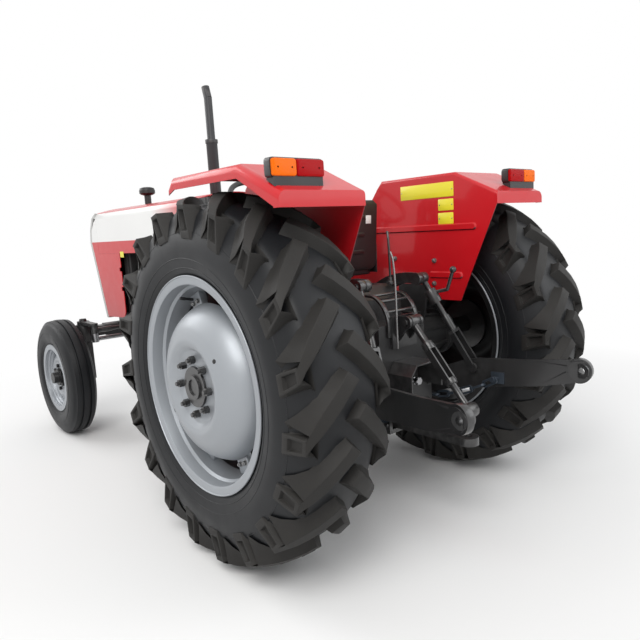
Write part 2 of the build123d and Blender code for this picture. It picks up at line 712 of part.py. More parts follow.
lift_top = axle_case_top + lift_cover_height
lift_cover = slab_y([(lift_cover_rear, axle_case_top), (lift_cover_rear, lift_top - 55),
                     (lift_cover_rear + 60, lift_top), (lift_cover_front, lift_top),
                     (lift_cover_front, axle_case_top)],
                    -lift_cover_half_width, lift_cover_half_width)
lift_cover = fillet(lift_cover.edges().filter_by(Axis.X).group_by(Axis.Z)[-1], 18)
lift_cover += block(lift_cover_rear, lift_cover_front, -axle_case_neck_half_width, axle_case_neck_half_width,
                    axle_case_top, axle_case_top + 14)
lift_cover += rod_y(rock_shaft_radius + 22, 20 - lift_arm_y, lift_arm_y - 20, rock_shaft_x,
                    rock_shaft_z)
lift_cover -= rod_y(rock_shaft_radius + shaft_gap, -400, 400, rock_shaft_x, rock_shaft_z)
write("lift_cover", lift_cover)

# Lift arms on the rock shaft
arm_end = (rock_shaft_x - lift_arm_reach, rock_shaft_z + lift_arm_rise)
arm_side = lift_arm_thickness / 2
rock = rod_y(rock_shaft_radius, -lift_arm_y - arm_side, lift_arm_y + arm_side, rock_shaft_x, rock_shaft_z)
rod_eye = 32
arch = ThreePointArc((rock_shaft_x + 36, rock_shaft_z + 40), (rock_shaft_x - 125, rock_shaft_z + 124),
                     (arm_end[0] + 2, arm_end[1] + 25))
hollow = ThreePointArc((arm_end[0] + 2, arm_end[1] - 25), (rock_shaft_x - 125, rock_shaft_z + 62),
                       (rock_shaft_x - 36, rock_shaft_z - 40))
arm_outline = make_face([arch, Line(arch @ 1, hollow @ 0), hollow, Line(hollow @ 1, arch @ 0)])
for side in (1, -1):
    y0, y1 = sorted((side * (lift_arm_y - arm_side), side * (lift_arm_y + arm_side)))
    rock += rod_y(rock_shaft_radius + 24, y0, y1, rock_shaft_x, rock_shaft_z)
    rock += plate_y(arm_outline, y0, y1)
    rock += rod_y(26, y0, y1, arm_end[0], arm_end[1])
    y0, y1 = sorted((side * lift_arm_y, side * (lift_arm_y + arm_side + 2 + rod_eye + 10)))
    rock += rod_y(lift_pin_radius, y0, y1, arm_end[0], arm_end[1])
write("lift_arms", rock)

# Lower links
link_dx = lower_ball_x - lower_pivot_x
link_dz = lower_ball_z - lower_pivot_z
link_dy = lower_ball_y - lower_pivot_y
lift_point = (lower_pivot_x + lift_point_share * link_dx,
              lower_pivot_z + lift_point_share * link_dz + lift_point_rise)
lift_point_y = lower_pivot_y + lift_point_share * link_dy
link_run = hypot(link_dx, link_dy)
splay = degrees(atan2(link_dy, -link_dx))
# plate outline: share of the way to the ball, height over and under the line from pin to ball
link_edge = ((0, 32, -32), (0.1, 56, -26), (0.42, 98, -24), (0.5, 98, -30), (0.78, 64, -48), (0.97, 47, -47))


def lower_link():
    """Left lower link: a deep pressed plate from the pin's eye to the ball's round end."""
    over = [(-share * link_run, up) for share, up, down in link_edge]
    under = [(-share * link_run, down) for share, up, down in reversed(link_edge)]
    plate = slab_y(over + under, -lower_plate / 2, lower_plate / 2)
    plate += rod_y(lower_ball_ring, -lower_plate, lower_plate, -link_run, 0)
    plate += rod_y(lower_ball_ring - 9, -lower_plate - 5, lower_plate + 5, -link_run, 0)
    laid = Rot(0, 0, -splay) * Rot(0, degrees(atan2(link_dz, link_run)), 0) * plate
    ball = (link_dx, link_dy, link_dz)
    half = lower_ball_length / 2
    laid += rod_y(30, ball[1] - half, ball[1] + half, ball[0], ball[2])
    laid -= rod_y(lower_ball_bore / 2, ball[1] - 90, ball[1] + 90, ball[0], ball[2])
    laid += rod_y(36, -lower_eye_half, lower_eye_half)
    laid -= rod_y(lower_pin_radius + shaft_gap, -lower_eye_half - 9, lower_eye_half + 9)
    return Pos(lower_pivot_x, lower_pivot_y, lower_pivot_z) * laid


write("lower_link_left", lower_link())
write("lower_link_right", mirrored(lower_link()))

# Check chains, from a ring on the lower pin to a stay on the link's inner face
chain_ring_y = lower_pivot_y - lower_eye_half - 8
chain_stay_share = 0.58
chain_sag = 36
chain_hook = (lower_pivot_x - 44, chain_ring_y, lower_pivot_z - 4)
stay_x = lower_pivot_x + chain_stay_share * link_dx
stay_face = lower_pivot_y + chain_stay_share * link_dy - lower_plate / 2 / cos(radians(splay))
stay_plate = 8
chain_stay = (stay_x - chain_wire - 1, stay_face - 34, lower_pivot_z + chain_stay_share * link_dz + 4)


def chain_point(share):
    """Point of the sagging chain, from its hook to its stay."""
    x, y, z = (a + share * (b - a) for a, b in zip(chain_hook, chain_stay))
    return Vector(x, y, z - 4 * chain_sag * share * (1 - share))


def check_chain():
    """Chain of flat-bar links, each turned a quarter from the last, with its ring and stay."""
    parts = []
    for index in range(chain_links):
        start = chain_point(index / chain_links)
        end = chain_point((index + 1) / chain_links)
        along = (end - start).normalized()
        side = Vector(0, 1, 0) if index % 2 else Vector(0, 1, 0).cross(along)
        plane = Plane((start + end) / 2, x_dir=along, z_dir=side)
        inside = (end - start).length + 0.4
        ring = SlotOverall(inside + 2 * chain_wire, 3.7 * chain_wire) - SlotOverall(inside, 1.7 * chain_wire)
        parts.append(extrude(plane * ring, chain_wire / 2, both=True))
    ring = rod_y(26, chain_ring_y - 5, chain_ring_y + 5, lower_pivot_x, lower_pivot_z)
    ring += block(lower_pivot_x - 42, lower_pivot_x - 15, chain_ring_y - 5, chain_ring_y + 5,
                  lower_pivot_z - 12, lower_pivot_z + 4)
    ring -= rod_y(lower_pin_radius + shaft_gap, 0, 400, lower_pivot_x, lower_pivot_z)
    parts[0] += ring
    pin = rod_y(6, chain_stay[1] - 16, stay_face - 4, stay_x, chain_stay[2])
    pin += rod_y(12, chain_stay[1] - 16, chain_stay[1] - 8, stay_x, chain_stay[2])
    lug_y = stay_face - (stay_plate / 2 + sheet_gap) / cos(radians(splay))
    lug = Pos(stay_x, lug_y, chain_stay[2]) * Rot(0, 0, -splay) * Box(58, stay_plate, 50)
    parts[-1] += pin + lug
    return Compound(children=[solid for part in parts for solid in part.solids()])


write("check_chain_left", check_chain())
write("check_chain_right", mirrored(check_chain()))

# Lift rods
fork_gap = lower_plate / 2 + pivot_gap + 4
fork_length = 190
rod_top = (arm_end[0], lift_arm_y + arm_side + 2 + rod_eye / 2, arm_end[1])
rod_bottom = (lift_point[0], lift_point_y, lift_point[1])


def lift_rod():
    """Lift rod from the lift arm's end to a long fork that straddles the lower link."""
    top, bottom = Vector(*rod_top), Vector(*rod_bottom)
    along = (bottom - top).normalized()
    crotch = bottom - along * fork_length
    bar = rod_between(tuple(top), tuple(crotch), 13)
    bar += rod_between(tuple(crotch - along * 70), tuple(crotch), 18)
    bar += rod_y(26, rod_top[1] - rod_eye / 2, rod_top[1] + rod_eye / 2, rod_top[0], rod_top[2])
    shape = bar - rod_y(lift_pin_radius + shaft_gap, 0, 400, rod_top[0], rod_top[2])
    sideways = Vector(0, 1, 0)
    bridge = Plane(crotch, x_dir=sideways, z_dir=along)
    shape += extrude(bridge * Rectangle(2 * fork_gap + 20, 26), 14)
    for side in (1, -1):
        cheek_start = crotch + sideways * side * (fork_gap + 5)
        cheek = Plane(cheek_start, x_dir=sideways, z_dir=along)
        shape += extrude(cheek * Rectangle(10, 26), fork_length)
        y0, y1 = sorted((rod_bottom[1] + side * fork_gap, rod_bottom[1] + side * (fork_gap + 10)))
        shape += rod_y(22, y0, y1, rod_bottom[0], rod_bottom[2])
    return shape


def levelling_box():
    """Gear housing on the right lift rod, with its upright shaft and crank, drawn for the left."""
    top, bottom = Vector(*rod_top), Vector(*rod_bottom)
    along = (bottom - top).normalized()
    head = top + along * 62
    housing = extrude(Plane(head, z_dir=along) * Circle(27), 66)
    spindle_foot = head + along * 16
    elbow = spindle_foot + Vector(-70, 26, 16)
    knob = elbow + Vector(-26, 10, 86)
    crank = rod_between(tuple(spindle_foot), tuple(elbow), 8) + Pos(*elbow) * Sphere(8)
    crank += rod_between(tuple(elbow), tuple(knob), 8) + Pos(*knob) * Sphere(15)
    return housing + crank


write("lift_rod_left", lift_rod())
write("lift_rod_right", mirrored(lift_rod() + levelling_box()))

# Top link and its bracket
bracket = block(axle_case_rear - 14, axle_case_rear, -75, 75, top_pin_z - 110, top_pin_z + 25)
for side in (1, -1):
    y0, y1 = sorted((side * (top_eye_length / 2 + 2), side * (top_eye_length / 2 + 16)))
    ear = slab_y([(axle_case_rear - 14, top_pin_z + 25), (top_pin_x, top_pin_z + 26),
                  (top_pin_x, top_pin_z - 26), (axle_case_rear - 14, top_pin_z - 80)], y0, y1)
    bracket += ear + rod_y(26, y0, y1, top_pin_x, top_pin_z)
bracket += rod_y(top_eye_bore / 2 - shaft_gap, -top_eye_length / 2 - 24, top_eye_length / 2 + 24,
                 top_pin_x, top_pin_z)
write("top_link_bracket", bracket)


def top_link():
    """Top link hanging from its pin: eye, barrel of two flat bars, and a ball eye."""
    link = rod_y(27, -top_eye_length / 2, top_eye_length / 2)
    link += rod_z(15, -120, 0)
    link += rod_z(24, -145, -110)
    for side in (1, -1):
        y0, y1 = sorted((side * 14, side * 22))
        link += block(-15, 15, y0, y1, -300, -120)
    link += rod_z(24, -310, -285)
    link += rod_z(15, -top_link_length, -300)
    link += rod_y(30, -top_eye_length / 2, top_eye_length / 2, 0, -top_link_length)
    link -= rod_y(top_eye_bore / 2, -60, 60)
    link -= rod_y(top_eye_bore / 2, -60, 60, 0, -top_link_length)
    return Pos(top_pin_x, 0, top_pin_z) * Rot(0, top_link_hang, 0) * link


write("top_link", top_link())

# Lower link pins, power take-off and drawbar
boss_end = chain_ring_y - 7
for side in (1, -1):
    axle_case += rod_y(36, *sorted((side * (axle_case_half_width - 20), side * boss_end)), lower_pivot_x,
                       lower_pivot_z)
    axle_case += rod_y(lower_pin_radius, *sorted((side * boss_end, side * (lower_pivot_y + 42))),
                       lower_pivot_x, lower_pivot_z)
    inner, outer = sorted((side * (lower_pivot_y + lower_eye_half + 2), side * (lower_pivot_y + 34)))
    axle_case += rod_y(24, inner, outer, lower_pivot_x, lower_pivot_z)
axle_case += rod_x(78, axle_case_rear - pto_plate, axle_case_rear + pto_plate, 0, pto_height)
write("rear_axle_case", axle_case)

pto = rod_x(pto_radius, axle_case_rear - 12 - pto_length, axle_case_rear - 12, 0, pto_height)
pto += rod_x(30, axle_case_rear - 12, axle_case_rear - pto_plate - shaft_gap, 0, pto_height)
write("pto_shaft", pto)
guard_rear = axle_case_rear - 130
guard_outer = [(-96, -30), (-96, 40), (-60, 84), (60, 84), (96, 40), (96, -30)]
guard_inner = [(90, -30), (90, 38), (57, 78), (-57, 78), (-90, 38), (-90, -30)]
guard = slab_x([(y, pto_height + z) for y, z in guard_outer + guard_inner], guard_rear, axle_case_rear)
write("pto_guard", guard)

drawbar = block(drawbar_reach + 40, 120, -38, 38, drawbar_height - 16, drawbar_height + 16)
drawbar += rod_z(40, drawbar_height - 16, drawbar_height + 16, drawbar_reach + 40, 0)
drawbar -= rod_z(drawbar_pin / 2, 0, 1000, drawbar_reach + 40, 0)
hanger = block(axle_case_rear + 20, axle_case_rear + 70, -80, 80, drawbar_height - 34, drawbar_height - 16)
for side in (1, -1):
    y0, y1 = sorted((side * 62, side * 80))
    hanger += block(axle_case_rear + 20, axle_case_rear + 70, y0, y1, drawbar_height - 34,
                    axle_case_bottom)
    for x in (axle_case_rear + 34, axle_case_rear + 56):
        hanger += rod_y(9, *sorted((side * 78, side * 90)), x, drawbar_height + 6)
hanger += block(60, 120, -60, 60, drawbar_height + 16, axle_case_bottom)
write("drawbar", drawbar + hanger)

# Fenders
cap_outline = [(fender_front_x, fender_rear_bottom), (fender_front_x, fender_top - 42),
               (fender_front_x - 42, fender_top), (fender_slope_x, fender_top),
               (fender_rear_x, fender_rear_top), (fender_rear_x, fender_rear_bottom)]
inner_edge_radius = 14
panel_top = fender_top - inner_edge_radius - 2
panel_outline = [(fender_front_x, fender_top - 56), (fender_front_x - 42, panel_top),
                 (fender_slope_x, panel_top), (fender_rear_x + 2, fender_rear_top - inner_edge_radius - 4),
                 (fender_rear_x + 2, fender_rear_bottom), (-285, fender_panel_bottom),
                 (220, fender_panel_bottom), (380, footplate_height), (640, footplate_height),
                 (600, 960)]
# pressed ribs of the inner panel: middle x, middle z, length
fender_ribs = ((-45, 1225, 670), (-200, 1005, 200), (430, 800, 150))


def rim_edges(shape, y):
    """Top, front and slope edges of a fender block on the side that lies at y."""
    return shape.edges().filter_by(lambda e: abs(e.center().Y - y) < 1 and e.center().X < fender_front_x + 20
                                   and e.center().Z > fender_rear_bottom + 30)


def fender():
    """Left fender: one pressed cap, open below and outside, welded to the ribbed inner panel."""
    t = fender_sheet
    cap = slab_y(cap_outline, fender_inner, fender_outer)
    cap = fillet(rim_edges(cap, fender_outer), fender_edge_radius)
    cap = fillet(rim_edges(cap, fender_inner), inner_edge_radius)
    front, rear, low = fender_front_x + 50, fender_rear_x + t, fender_rear_bottom - 50
    inside = slab_y([(front, low), (front, fender_top - 42 - t), (fender_front_x - 42 - t, fender_top - t),
                     (fender_slope_x, fender_top - t), (rear, fender_rear_top - t), (rear, low)],
                    fender_inner + t, fender_outer - t)
    inside = fillet(rim_edges(inside, fender_outer - t), fender_edge_radius - t)
    inside = fillet(rim_edges(inside, fender_inner + t), inner_edge_radius - t)
    cap -= inside
    lip_z, rear = fender_top - fender_lip, fender_rear_x + 30
    opening = slab_y([(front, low), (front, lip_z - 42), (fender_front_x - 42 - fender_lip / 2, lip_z),
                      (fender_slope_x, lip_z), (rear, fender_rear_top - fender_lip), (rear, low)],
                     fender_inner + 60, fender_outer + 5)
    cap -= opening
    panel = slab_y(panel_outline, fender_inner, fender_inner + t)
    for x, z, length in fender_ribs:
        foot = Plane((x, fender_inner + 1, z), x_dir=(1, 0, 0), z_dir=(0, -1, 0))
        panel += extrude(foot * SlotOverall(length, 34), fender_rib, taper=35)
    flange = slab_y([(600, 960), (640, footplate_height), (640 - t, footplate_height), (600 - t, 960)],
                    fender_inner, fender_inner + 60)
    return cap + panel + flange


write("fender_left", fender())
write("fender_right", mirrored(fender()))
plate_inner = bell_half_width + 4
plate_outer = fender_inner + 130
step = slab_z([(380, plate_inner), (1010, plate_inner), (1010, plate_outer),
               (rear_tyre_radius + 40, plate_outer), (rear_tyre_radius + 20, fender_inner),
               (380, fender_inner)], footplate_height - 5, footplate_height)
step += block(rear_tyre_radius + 40, 1010, plate_outer - 6, plate_outer, footplate_height - 40,
              footplate_height - 5)
step += block(1004, 1010, plate_inner, plate_outer, footplate_height - 40, footplate_height - 5)
step += block(620, 680, gearbox_half_width, fender_inner, footplate_height - 60, footplate_height - 5)
for index in range(5):
    x = 770 + index * 50
    step += block(x, x + 14, plate_inner + 30, plate_outer - 30, footplate_height, footplate_height + 4)
write("footplates", step + mirrored(step))


def tail_lamp():
    """Left tail lamp on a plinth that takes up the slope of the fender."""
    fall = (fender_top - fender_rear_top) / (fender_slope_x - fender_rear_x)
    front = lamp_x + lamp_depth
    foot_back = fender_rear_top + fall * (lamp_x + 6 - fender_rear_x)
    foot_front = fender_rear_top + fall * (front - 6 - fender_rear_x)
    y0, y1 = lamp_mid_y - lamp_width / 2, lamp_mid_y + lamp_width / 2
    plinth = slab_y([(lamp_x + 6, foot_back), (front - 6, foot_front), (front - 6, lamp_bottom + 5),
                     (lamp_x + 6, lamp_bottom + 5)], y0 + 8, y1 - 8)
    body = rounded(block(lamp_x + 14, front, y0, y1, lamp_bottom, lamp_bottom + lamp_height), Axis.X, 12)
    lens = rounded(block(lamp_x, lamp_x + 14, y0 + 4, y1 - 4, lamp_bottom + 4,
                         lamp_bottom + lamp_height - 4), Axis.X, 10)
    return plinth + body + lens


write("tail_lamps", tail_lamp() + mirrored(tail_lamp()))

# Hood, nose and side panels


def hood_section(inset, skirt):
    """Hood cross-section: straight sides, round shoulders and a crowned top, open at the skirt."""
    half, top, shoulder = hood_half_width - inset, hood_top - inset, hood_shoulder
    cut, cut_top = half - 0.29 * shoulder, top - 0.29 * shoulder + 4
    side = Line((half, skirt), (half, top - shoulder))
    corner = ThreePointArc(side @ 1, (cut, cut_top), (half - shoulder, top + 6))
    crown = ThreePointArc(corner @ 1, (0, top + hood_crown), (shoulder - half, top + 6))
    other = ThreePointArc(crown @ 1, (-cut, cut_top), (-half, top - shoulder))
    down = Line(other @ 1, (-half, skirt))
    return make_face([side, corner, crown, other, down, Line(down @ 1, side @ 0)])


across = Plane((hood_rear, 0, 0), x_dir=(0, 1, 0), z_dir=(1, 0, 0))
hood_block = extrude(across * hood_section(0, hood_skirt), hood_front - hood_rear)
hood = hood_block - extrude(across * hood_section(hood_sheet, hood_skirt - 10), hood_front - hood_rear)
hood -= rod_z(exhaust_pipe_radius + 18, 1300, 1600, exhaust_x, exhaust_y)
for side in (1, -1):
    y0, y1 = sorted((side * (hood_half_width - hood_sheet), side * (hood_half_width - 30)))
    hood += block(hood_rear, hood_front, y0, y1, hood_skirt, hood_skirt + hood_sheet)
write("hood", hood)

brow = (nose_forward - 60, hood_top - 30)
nose_curve = [brow, (nose_forward - 8, 1330), (nose_forward + 10, 1240), (nose_foot_x, nose_foot_z)]
nose_back = [(x - nose_frame, z) for x, z in nose_curve]
side_panel_rear = nose_foot_x - side_panel_width
end_radius = 60
notch = 26


def side_panel():
    """Left side panel: one sheet from the hood's skirt to a rounded lower end, with two notches."""
    outline = [(side_panel_rear, nose_foot_z + 20), (side_panel_rear, hood_skirt - sheet_gap),
               (hood_front + sheet_gap, hood_skirt - sheet_gap),
               (hood_front + sheet_gap, hood_top - hood_shoulder),
               (brow[0] - nose_frame, brow[1] - nose_frame)] + nose_back[1:-1] \
        + [(nose_foot_x - nose_frame, nose_foot_z + 8)]
    sheet = slab_y(outline, hood_half_width - hood_sheet, hood_half_width)
    corner = sheet.edges().filter_by(Axis.Y).sort_by(lambda e: e.center().X + e.center().Z)[0]
    sheet = fillet(corner, end_radius)
    for z in (hood_skirt - 120, hood_skirt - 250):
        sheet -= block(side_panel_rear - 1, side_panel_rear + notch, 0, 400, z, z + notch)
    return sheet


write("side_panels", side_panel() + mirrored(side_panel()))
frame_width = 32
opening_half = hood_half_width - frame_width
grille = slab_y(nose_curve + nose_back[::-1], opening_half, hood_half_width)
grille += mirrored(grille)
hood_edge = hood_front + sheet_gap
for outline in ([(hood_edge, hood_top - hood_shoulder), (hood_edge, hood_top), brow, nose_back[0]],
                [nose_curve[0], nose_curve[1], nose_back[1], nose_back[0]]):
    grille += slab_y(outline, -hood_half_width, hood_half_width)
slope = Vector(nose_curve[3][0] - nose_curve[2][0], 0, nose_curve[3][1] - nose_curve[2][1])
sill = 0.94
for share0, share1 in ((0, 0.03), (sill, 1)):
    x0, z0 = nose_curve[2][0] + share0 * slope.X, nose_curve[2][1] + share0 * slope.Z
    x1, z1 = nose_curve[2][0] + share1 * slope.X, nose_curve[2][1] + share1 * slope.Z
    grille += slab_y([(x0, z0), (x1, z1), (x1 - nose_frame, z1), (x0 - nose_frame, z0)], -opening_half - 1,
                     opening_half + 1)
grille += slab_y([(x - nose_frame + 2, z) for x, z in nose_curve[1:]]
                 + [(x - nose_frame, z) for x, z in reversed(nose_curve[1:])], -opening_half - 1,
                 opening_half + 1)
for index in range(nose_bar_count):
    share = 0.03 + (sill - 0.03) * (index + 1) / (nose_bar_count + 1)
    x, z = nose_curve[2][0] + share * slope.X, nose_curve[2][1] + share * slope.Z
    grille += block(x - nose_frame + 1, x - 6, -opening_half - 1, opening_half + 1, z - 4, z + 4)
write("grille", grille)


def headlamp():
    """Left headlamp: round-cornered housing with a lens that stands proud of it."""
    y0 = opening_half - headlamp_width - 8
    y1 = opening_half - 8
    bottom = nose_curve[2][1] + sheet_gap
    back = nose_forward - nose_frame + 13
    lamp = rounded(block(back, nose_forward - 6, y0, y1, bottom, bottom + headlamp_height), Axis.X, 16)
    lamp += rounded(block(nose_forward - 8, nose_forward + 2, y0 + 8, y1 - 8, bottom + 8,
                          bottom + headlamp_height - 8), Axis.X, 12)
    return lamp


write("headlamps", headlamp() + mirrored(headlamp()))
collar_z = exhaust_tip - 320
bend_z = exhaust_tip - 70
stack = rod_z(exhaust_pipe_radius, head_top - 20, bend_z, exhaust_x, exhaust_y)
stack += rod_z(34, hood_top + 58, collar_z, exhaust_x, exhaust_y)
stack += rod_z(38, collar_z - 22, collar_z, exhaust_x, exhaust_y)
tip = (exhaust_x + 20, exhaust_y, exhaust_tip - 6)
stack += rod_between((exhaust_x, exhaust_y, bend_z - 4), tip, exhaust_pipe_radius)
stack -= rod_between((exhaust_x + 12, exhaust_y, bend_z + 24), (exhaust_x + 24, exhaust_y, exhaust_tip + 16),
                     exhaust_pipe_radius - 3)
write("exhaust_stack", stack)
precleaner_x = front_x - precleaner_behind_axle
hood_peak = hood_top + hood_crown
mushroom = Polyline((0, -20), (22, -20), (22, 62), (44, 70), (52, 78), (52, 96), (46, 112), (26, 118),
                    (0, 118), close=True)
mushroom = revolve(Plane.XZ * make_face(mushroom), Axis.Z)
write("precleaner", Pos(precleaner_x, 0, hood_peak) * mushroom - hood_block)

# Driver's place
cowl_rear = hood_rear - 110
cowl_half = hood_half_width - 12
cowl = block(cowl_rear, hood_rear, -cowl_half, cowl_half, gearbox_top + 50, hood_top)
cowl = rounded(cowl, Axis.Z, 20)
cowl += slab_y([(cowl_rear + 2, hood_top - 12), (cowl_rear - 16, hood_top - 12),
                (cowl_rear - 40, hood_top - 150), (cowl_rear + 2, hood_top - 190)], -160, 160)
dial_plane = Plane((cowl_rear - 28, 0, hood_top - 81), x_dir=(0, 1, 0), z_dir=(-138, 0, 24))
for y, radius in ((-90, 34), (0, 44), (90, 34)):
    cowl += extrude(dial_plane * Pos(y, 0) * Circle(radius), 8)
tilt = radians(wheel_tilt)
axis_dir = (-sin(tilt), 0, cos(tilt))
hub_depth = 30
hub_point = (wheel_hub_x, 0, wheel_hub_z)
column_top = tuple(c - (hub_depth + sheet_gap) * d for c, d in zip(hub_point, axis_dir))
column_foot = (hub_point[0] + 320 * sin(tilt), 0, hub_point[2] - 320 * cos(tilt))
column = rod_between(column_foot, column_top, 24)
column += rod_between(column_foot, tuple(c - 150 * d for c, d in zip(hub_point, axis_dir)), 36)
write("dash_cowl", cowl + column)
pedals = []
# clutch, then the two brakes: y of the pivot, y of the pad
for pivot_y, pad_y in ((205, 215), (-205, -207), (-236, -262)):
    pivot = (cowl_rear - 20, pivot_y, gearbox_top + 90)
    foot = (cowl_rear - 80, pad_y, gearbox_top - 130)
    pedal = rod_x(12, cowl_rear - 32, cowl_rear, pivot_y, gearbox_top + 90) + rod_between(pivot, foot, 9)
    pedal += Pos(*foot) * Rot(0, 40, 0) * Box(62, 50, 9)
    pedals.append(pedal)
write("pedals", Compound(children=pedals))
ring = Torus(wheel_rim_radius - 14, 14)
ring += rod_z(38, -hub_depth, 14)
for turn in (60, 180, 300):
    spoke = Pos((wheel_rim_radius - 14) / 2 + 10, 0, -4) * Box(wheel_rim_radius - 30, 24, 8)
    ring += Rot(0, 0, turn) * spoke
write("steering_wheel", Pos(*hub_point) * Rot(0, -wheel_tilt, 0) * ring)
seat_bottom = seat_top - 75
pan = rounded(block(seat_back_x + 30, seat_front_x, -seat_half_width, seat_half_width, seat_bottom,
                    seat_top), Axis.Z, 60)
pan = fillet(pan.edges().group_by(Axis.Z)[-1], 24)
back = slab_y([(seat_back_x, seat_back_top), (seat_back_x + 25, seat_bottom),
               (seat_back_x + 115, seat_bottom), (seat_back_x + 75, seat_back_top)],
              -seat_half_width, seat_half_width)
ends = back.edges().filter_by(lambda e: abs(e.center().Y) > 1 and e.center().Z > seat_back_top - 5)
write("seat", pan + fillet(ends, 34))
seat_stand = rounded(block(seat_back_x + 100, seat_front_x - 120, -110, 110, lift_top, lift_top + 12),
                     Axis.Z, 20)
seat_stand += rounded(block(seat_back_x + 80, seat_front_x - 60, -140, 140, seat_bottom - 10, seat_bottom),
                      Axis.Z, 20)
for x, y in ((200, 80), (200, -80), (360, 80), (360, -80)):
    seat_stand += rod_z(22, lift_top + 12, seat_bottom - 10, x, y)
write("seat_stand", seat_stand)
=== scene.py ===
from math import cos, pi, radians, sin, tan
import bmesh
import bpy
from mathutils import Matrix, Vector


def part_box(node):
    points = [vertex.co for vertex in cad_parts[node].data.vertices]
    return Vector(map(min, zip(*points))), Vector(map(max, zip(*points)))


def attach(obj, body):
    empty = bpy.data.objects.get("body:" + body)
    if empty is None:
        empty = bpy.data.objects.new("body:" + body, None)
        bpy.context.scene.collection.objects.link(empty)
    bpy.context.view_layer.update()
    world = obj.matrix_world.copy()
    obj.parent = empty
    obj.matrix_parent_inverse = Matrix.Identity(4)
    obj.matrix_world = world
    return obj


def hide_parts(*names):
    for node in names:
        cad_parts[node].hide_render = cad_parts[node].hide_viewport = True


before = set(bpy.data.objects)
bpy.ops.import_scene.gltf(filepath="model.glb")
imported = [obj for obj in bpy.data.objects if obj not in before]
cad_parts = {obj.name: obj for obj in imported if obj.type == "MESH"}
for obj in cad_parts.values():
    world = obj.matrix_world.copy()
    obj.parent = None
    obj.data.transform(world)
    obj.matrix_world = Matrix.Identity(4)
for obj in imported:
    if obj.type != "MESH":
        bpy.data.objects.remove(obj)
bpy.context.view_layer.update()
scene = bpy.context.scene


def middle(node):
    low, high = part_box(node)
    return (low + high) / 2


rearHub = middle("rear_tyre_left")  # centre of the left rear wheel
frontHub = middle("front_tyre_left")
axleX = rearHub.x


# Forms are lists of (points, faces, finish), joined into one object by dress()

def at(x, y, z):
    return (axleX + x, y, z)  # x counted from the rear axle


def wheelTurn(degrees):
    return Vector((cos(radians(degrees)), 0, sin(radians(degrees))))  # direction out from a wheel's axle


def roundedPath(points, radius, steps=5):
    # Replaces each corner of a flat outline by an arc
    made = []
    for index, corner in enumerate(points):
        here = Vector(corner)
        before = Vector(points[index - 1]) - here
        after = Vector(points[(index + 1) % len(points)]) - here
        bend = pi - before.angle(after)
        if radius <= 0 or bend < 0.02:
            made.append(tuple(here))
            continue
        cut = min(radius * abs(tan(bend / 2)), before.length * 0.49, after.length * 0.49)
        start = here + before.normalized() * cut
        end = here + after.normalized() * cut
        for step in range(steps + 1):
            share = step / steps
            made.append(tuple((1 - share) ** 2 * start + 2 * share * (1 - share) * here + share ** 2 * end))
    return made


def rectangle(a0, a1, b0, b1, radius=0.0, steps=4):
    return roundedPath([(a0, b0), (a1, b0), (a1, b1), (a0, b1)], radius, steps)


def smoothPath(points, steps=6):
    # Smooth line through the given points
    knots = [Vector(p) for p in points]
    knots = [2 * knots[0] - knots[1]] + knots + [2 * knots[-1] - knots[-2]]
    made = []
    for index in range(1, len(knots) - 2):
        a, b, c, d = knots[index - 1:index + 3]
        for step in range(steps):
            t = step / steps
            made.append(0.5 * (2 * b + (c - a) * t + (2 * a - 5 * b + 4 * c - d) * t * t
                               + (3 * b - a - 3 * c + d) * t ** 3))
    return made + [knots[-2]]


def grid(rows, finish, closeRows=False, closeColumns=False, caps=False):
    # Skin over rows of points
    points = [tuple(p) for row in rows for p in row]
    rowCount, columnCount = len(rows), len(rows[0])
    faces = []
    for i in range(rowCount if closeRows else rowCount - 1):
        for j in range(columnCount if closeColumns else columnCount - 1):
            a, b = i * columnCount + j, i * columnCount + (j + 1) % columnCount
            k = (i + 1) % rowCount * columnCount
            faces.append((a, b, k + (j + 1) % columnCount, k + j))
    if caps:
        faces.append(tuple(range(columnCount))[::-1])
        faces.append(tuple((rowCount - 1) * columnCount + j for j in range(columnCount)))
    return (points, faces, finish)


def spun(profile, centre, finish, steps=120):
    # Closed outline of (y, radius) turned about the wheel's axle
    rows = []
    for step in range(steps):
        angle = 2 * pi * step / steps
        rows.append([(centre[0] + r * cos(angle), centre[1] + y, centre[2] + r * sin(angle))
                     for y, r in profile])
    return grid(rows, finish, closeRows=True, closeColumns=True)


def turned(start, direction, stations, finish, sides=24):
    # Round piece along a line: stations are (distance, radius)
    turn = Vector(direction).to_track_quat("Z", "X").to_matrix()
    rows = []
    for distance, radius in stations:
        rows.append([Vector(start) + turn @ Vector((a, b, distance)) for a, b in circle(radius, sides)])
    return grid(rows, finish, closeColumns=True, caps=True)


def layered(outline, axis, levels, finish):
    # Flat outline stacked along one axis: levels are (depth, inset towards the middle)
    place = {"x": lambda a, b, d: at(d, a, b), "y": lambda a, b, d: at(a, d, b), "z": at}[axis]
    (lowA, highA), (lowB, highB) = ((min(values), max(values)) for values in zip(*outline))
    middleA, middleB = (lowA + highA) / 2, (lowB + highB) / 2
    rows = []
    for depth, inset in levels:
        shrinkA, shrinkB = 1 - inset / (highA - middleA), 1 - inset / (highB - middleB)
        rows.append([place(middleA + (a - middleA) * shrinkA, middleB + (b - middleB) * shrinkB, depth)
                     for a, b in outline])
    return grid(rows, finish, closeColumns=True, caps=True)


def swept(path, section, finish, up=(0, 1, 0)):
    # Section of (side, up) points carried along a line
    rows = []
    line = [Vector(p) for p in path]
    for index, here in enumerate(line):
        ahead = (line[min(index + 1, len(line) - 1)] - line[max(index - 1, 0)]).normalized()
        side = ahead.cross(Vector(up)).normalized()
        lift = side.cross(ahead).normalized()
        rows.append([here + side * a + lift * b for a, b in section])
    return grid(rows, finish, closeColumns=True, caps=True)


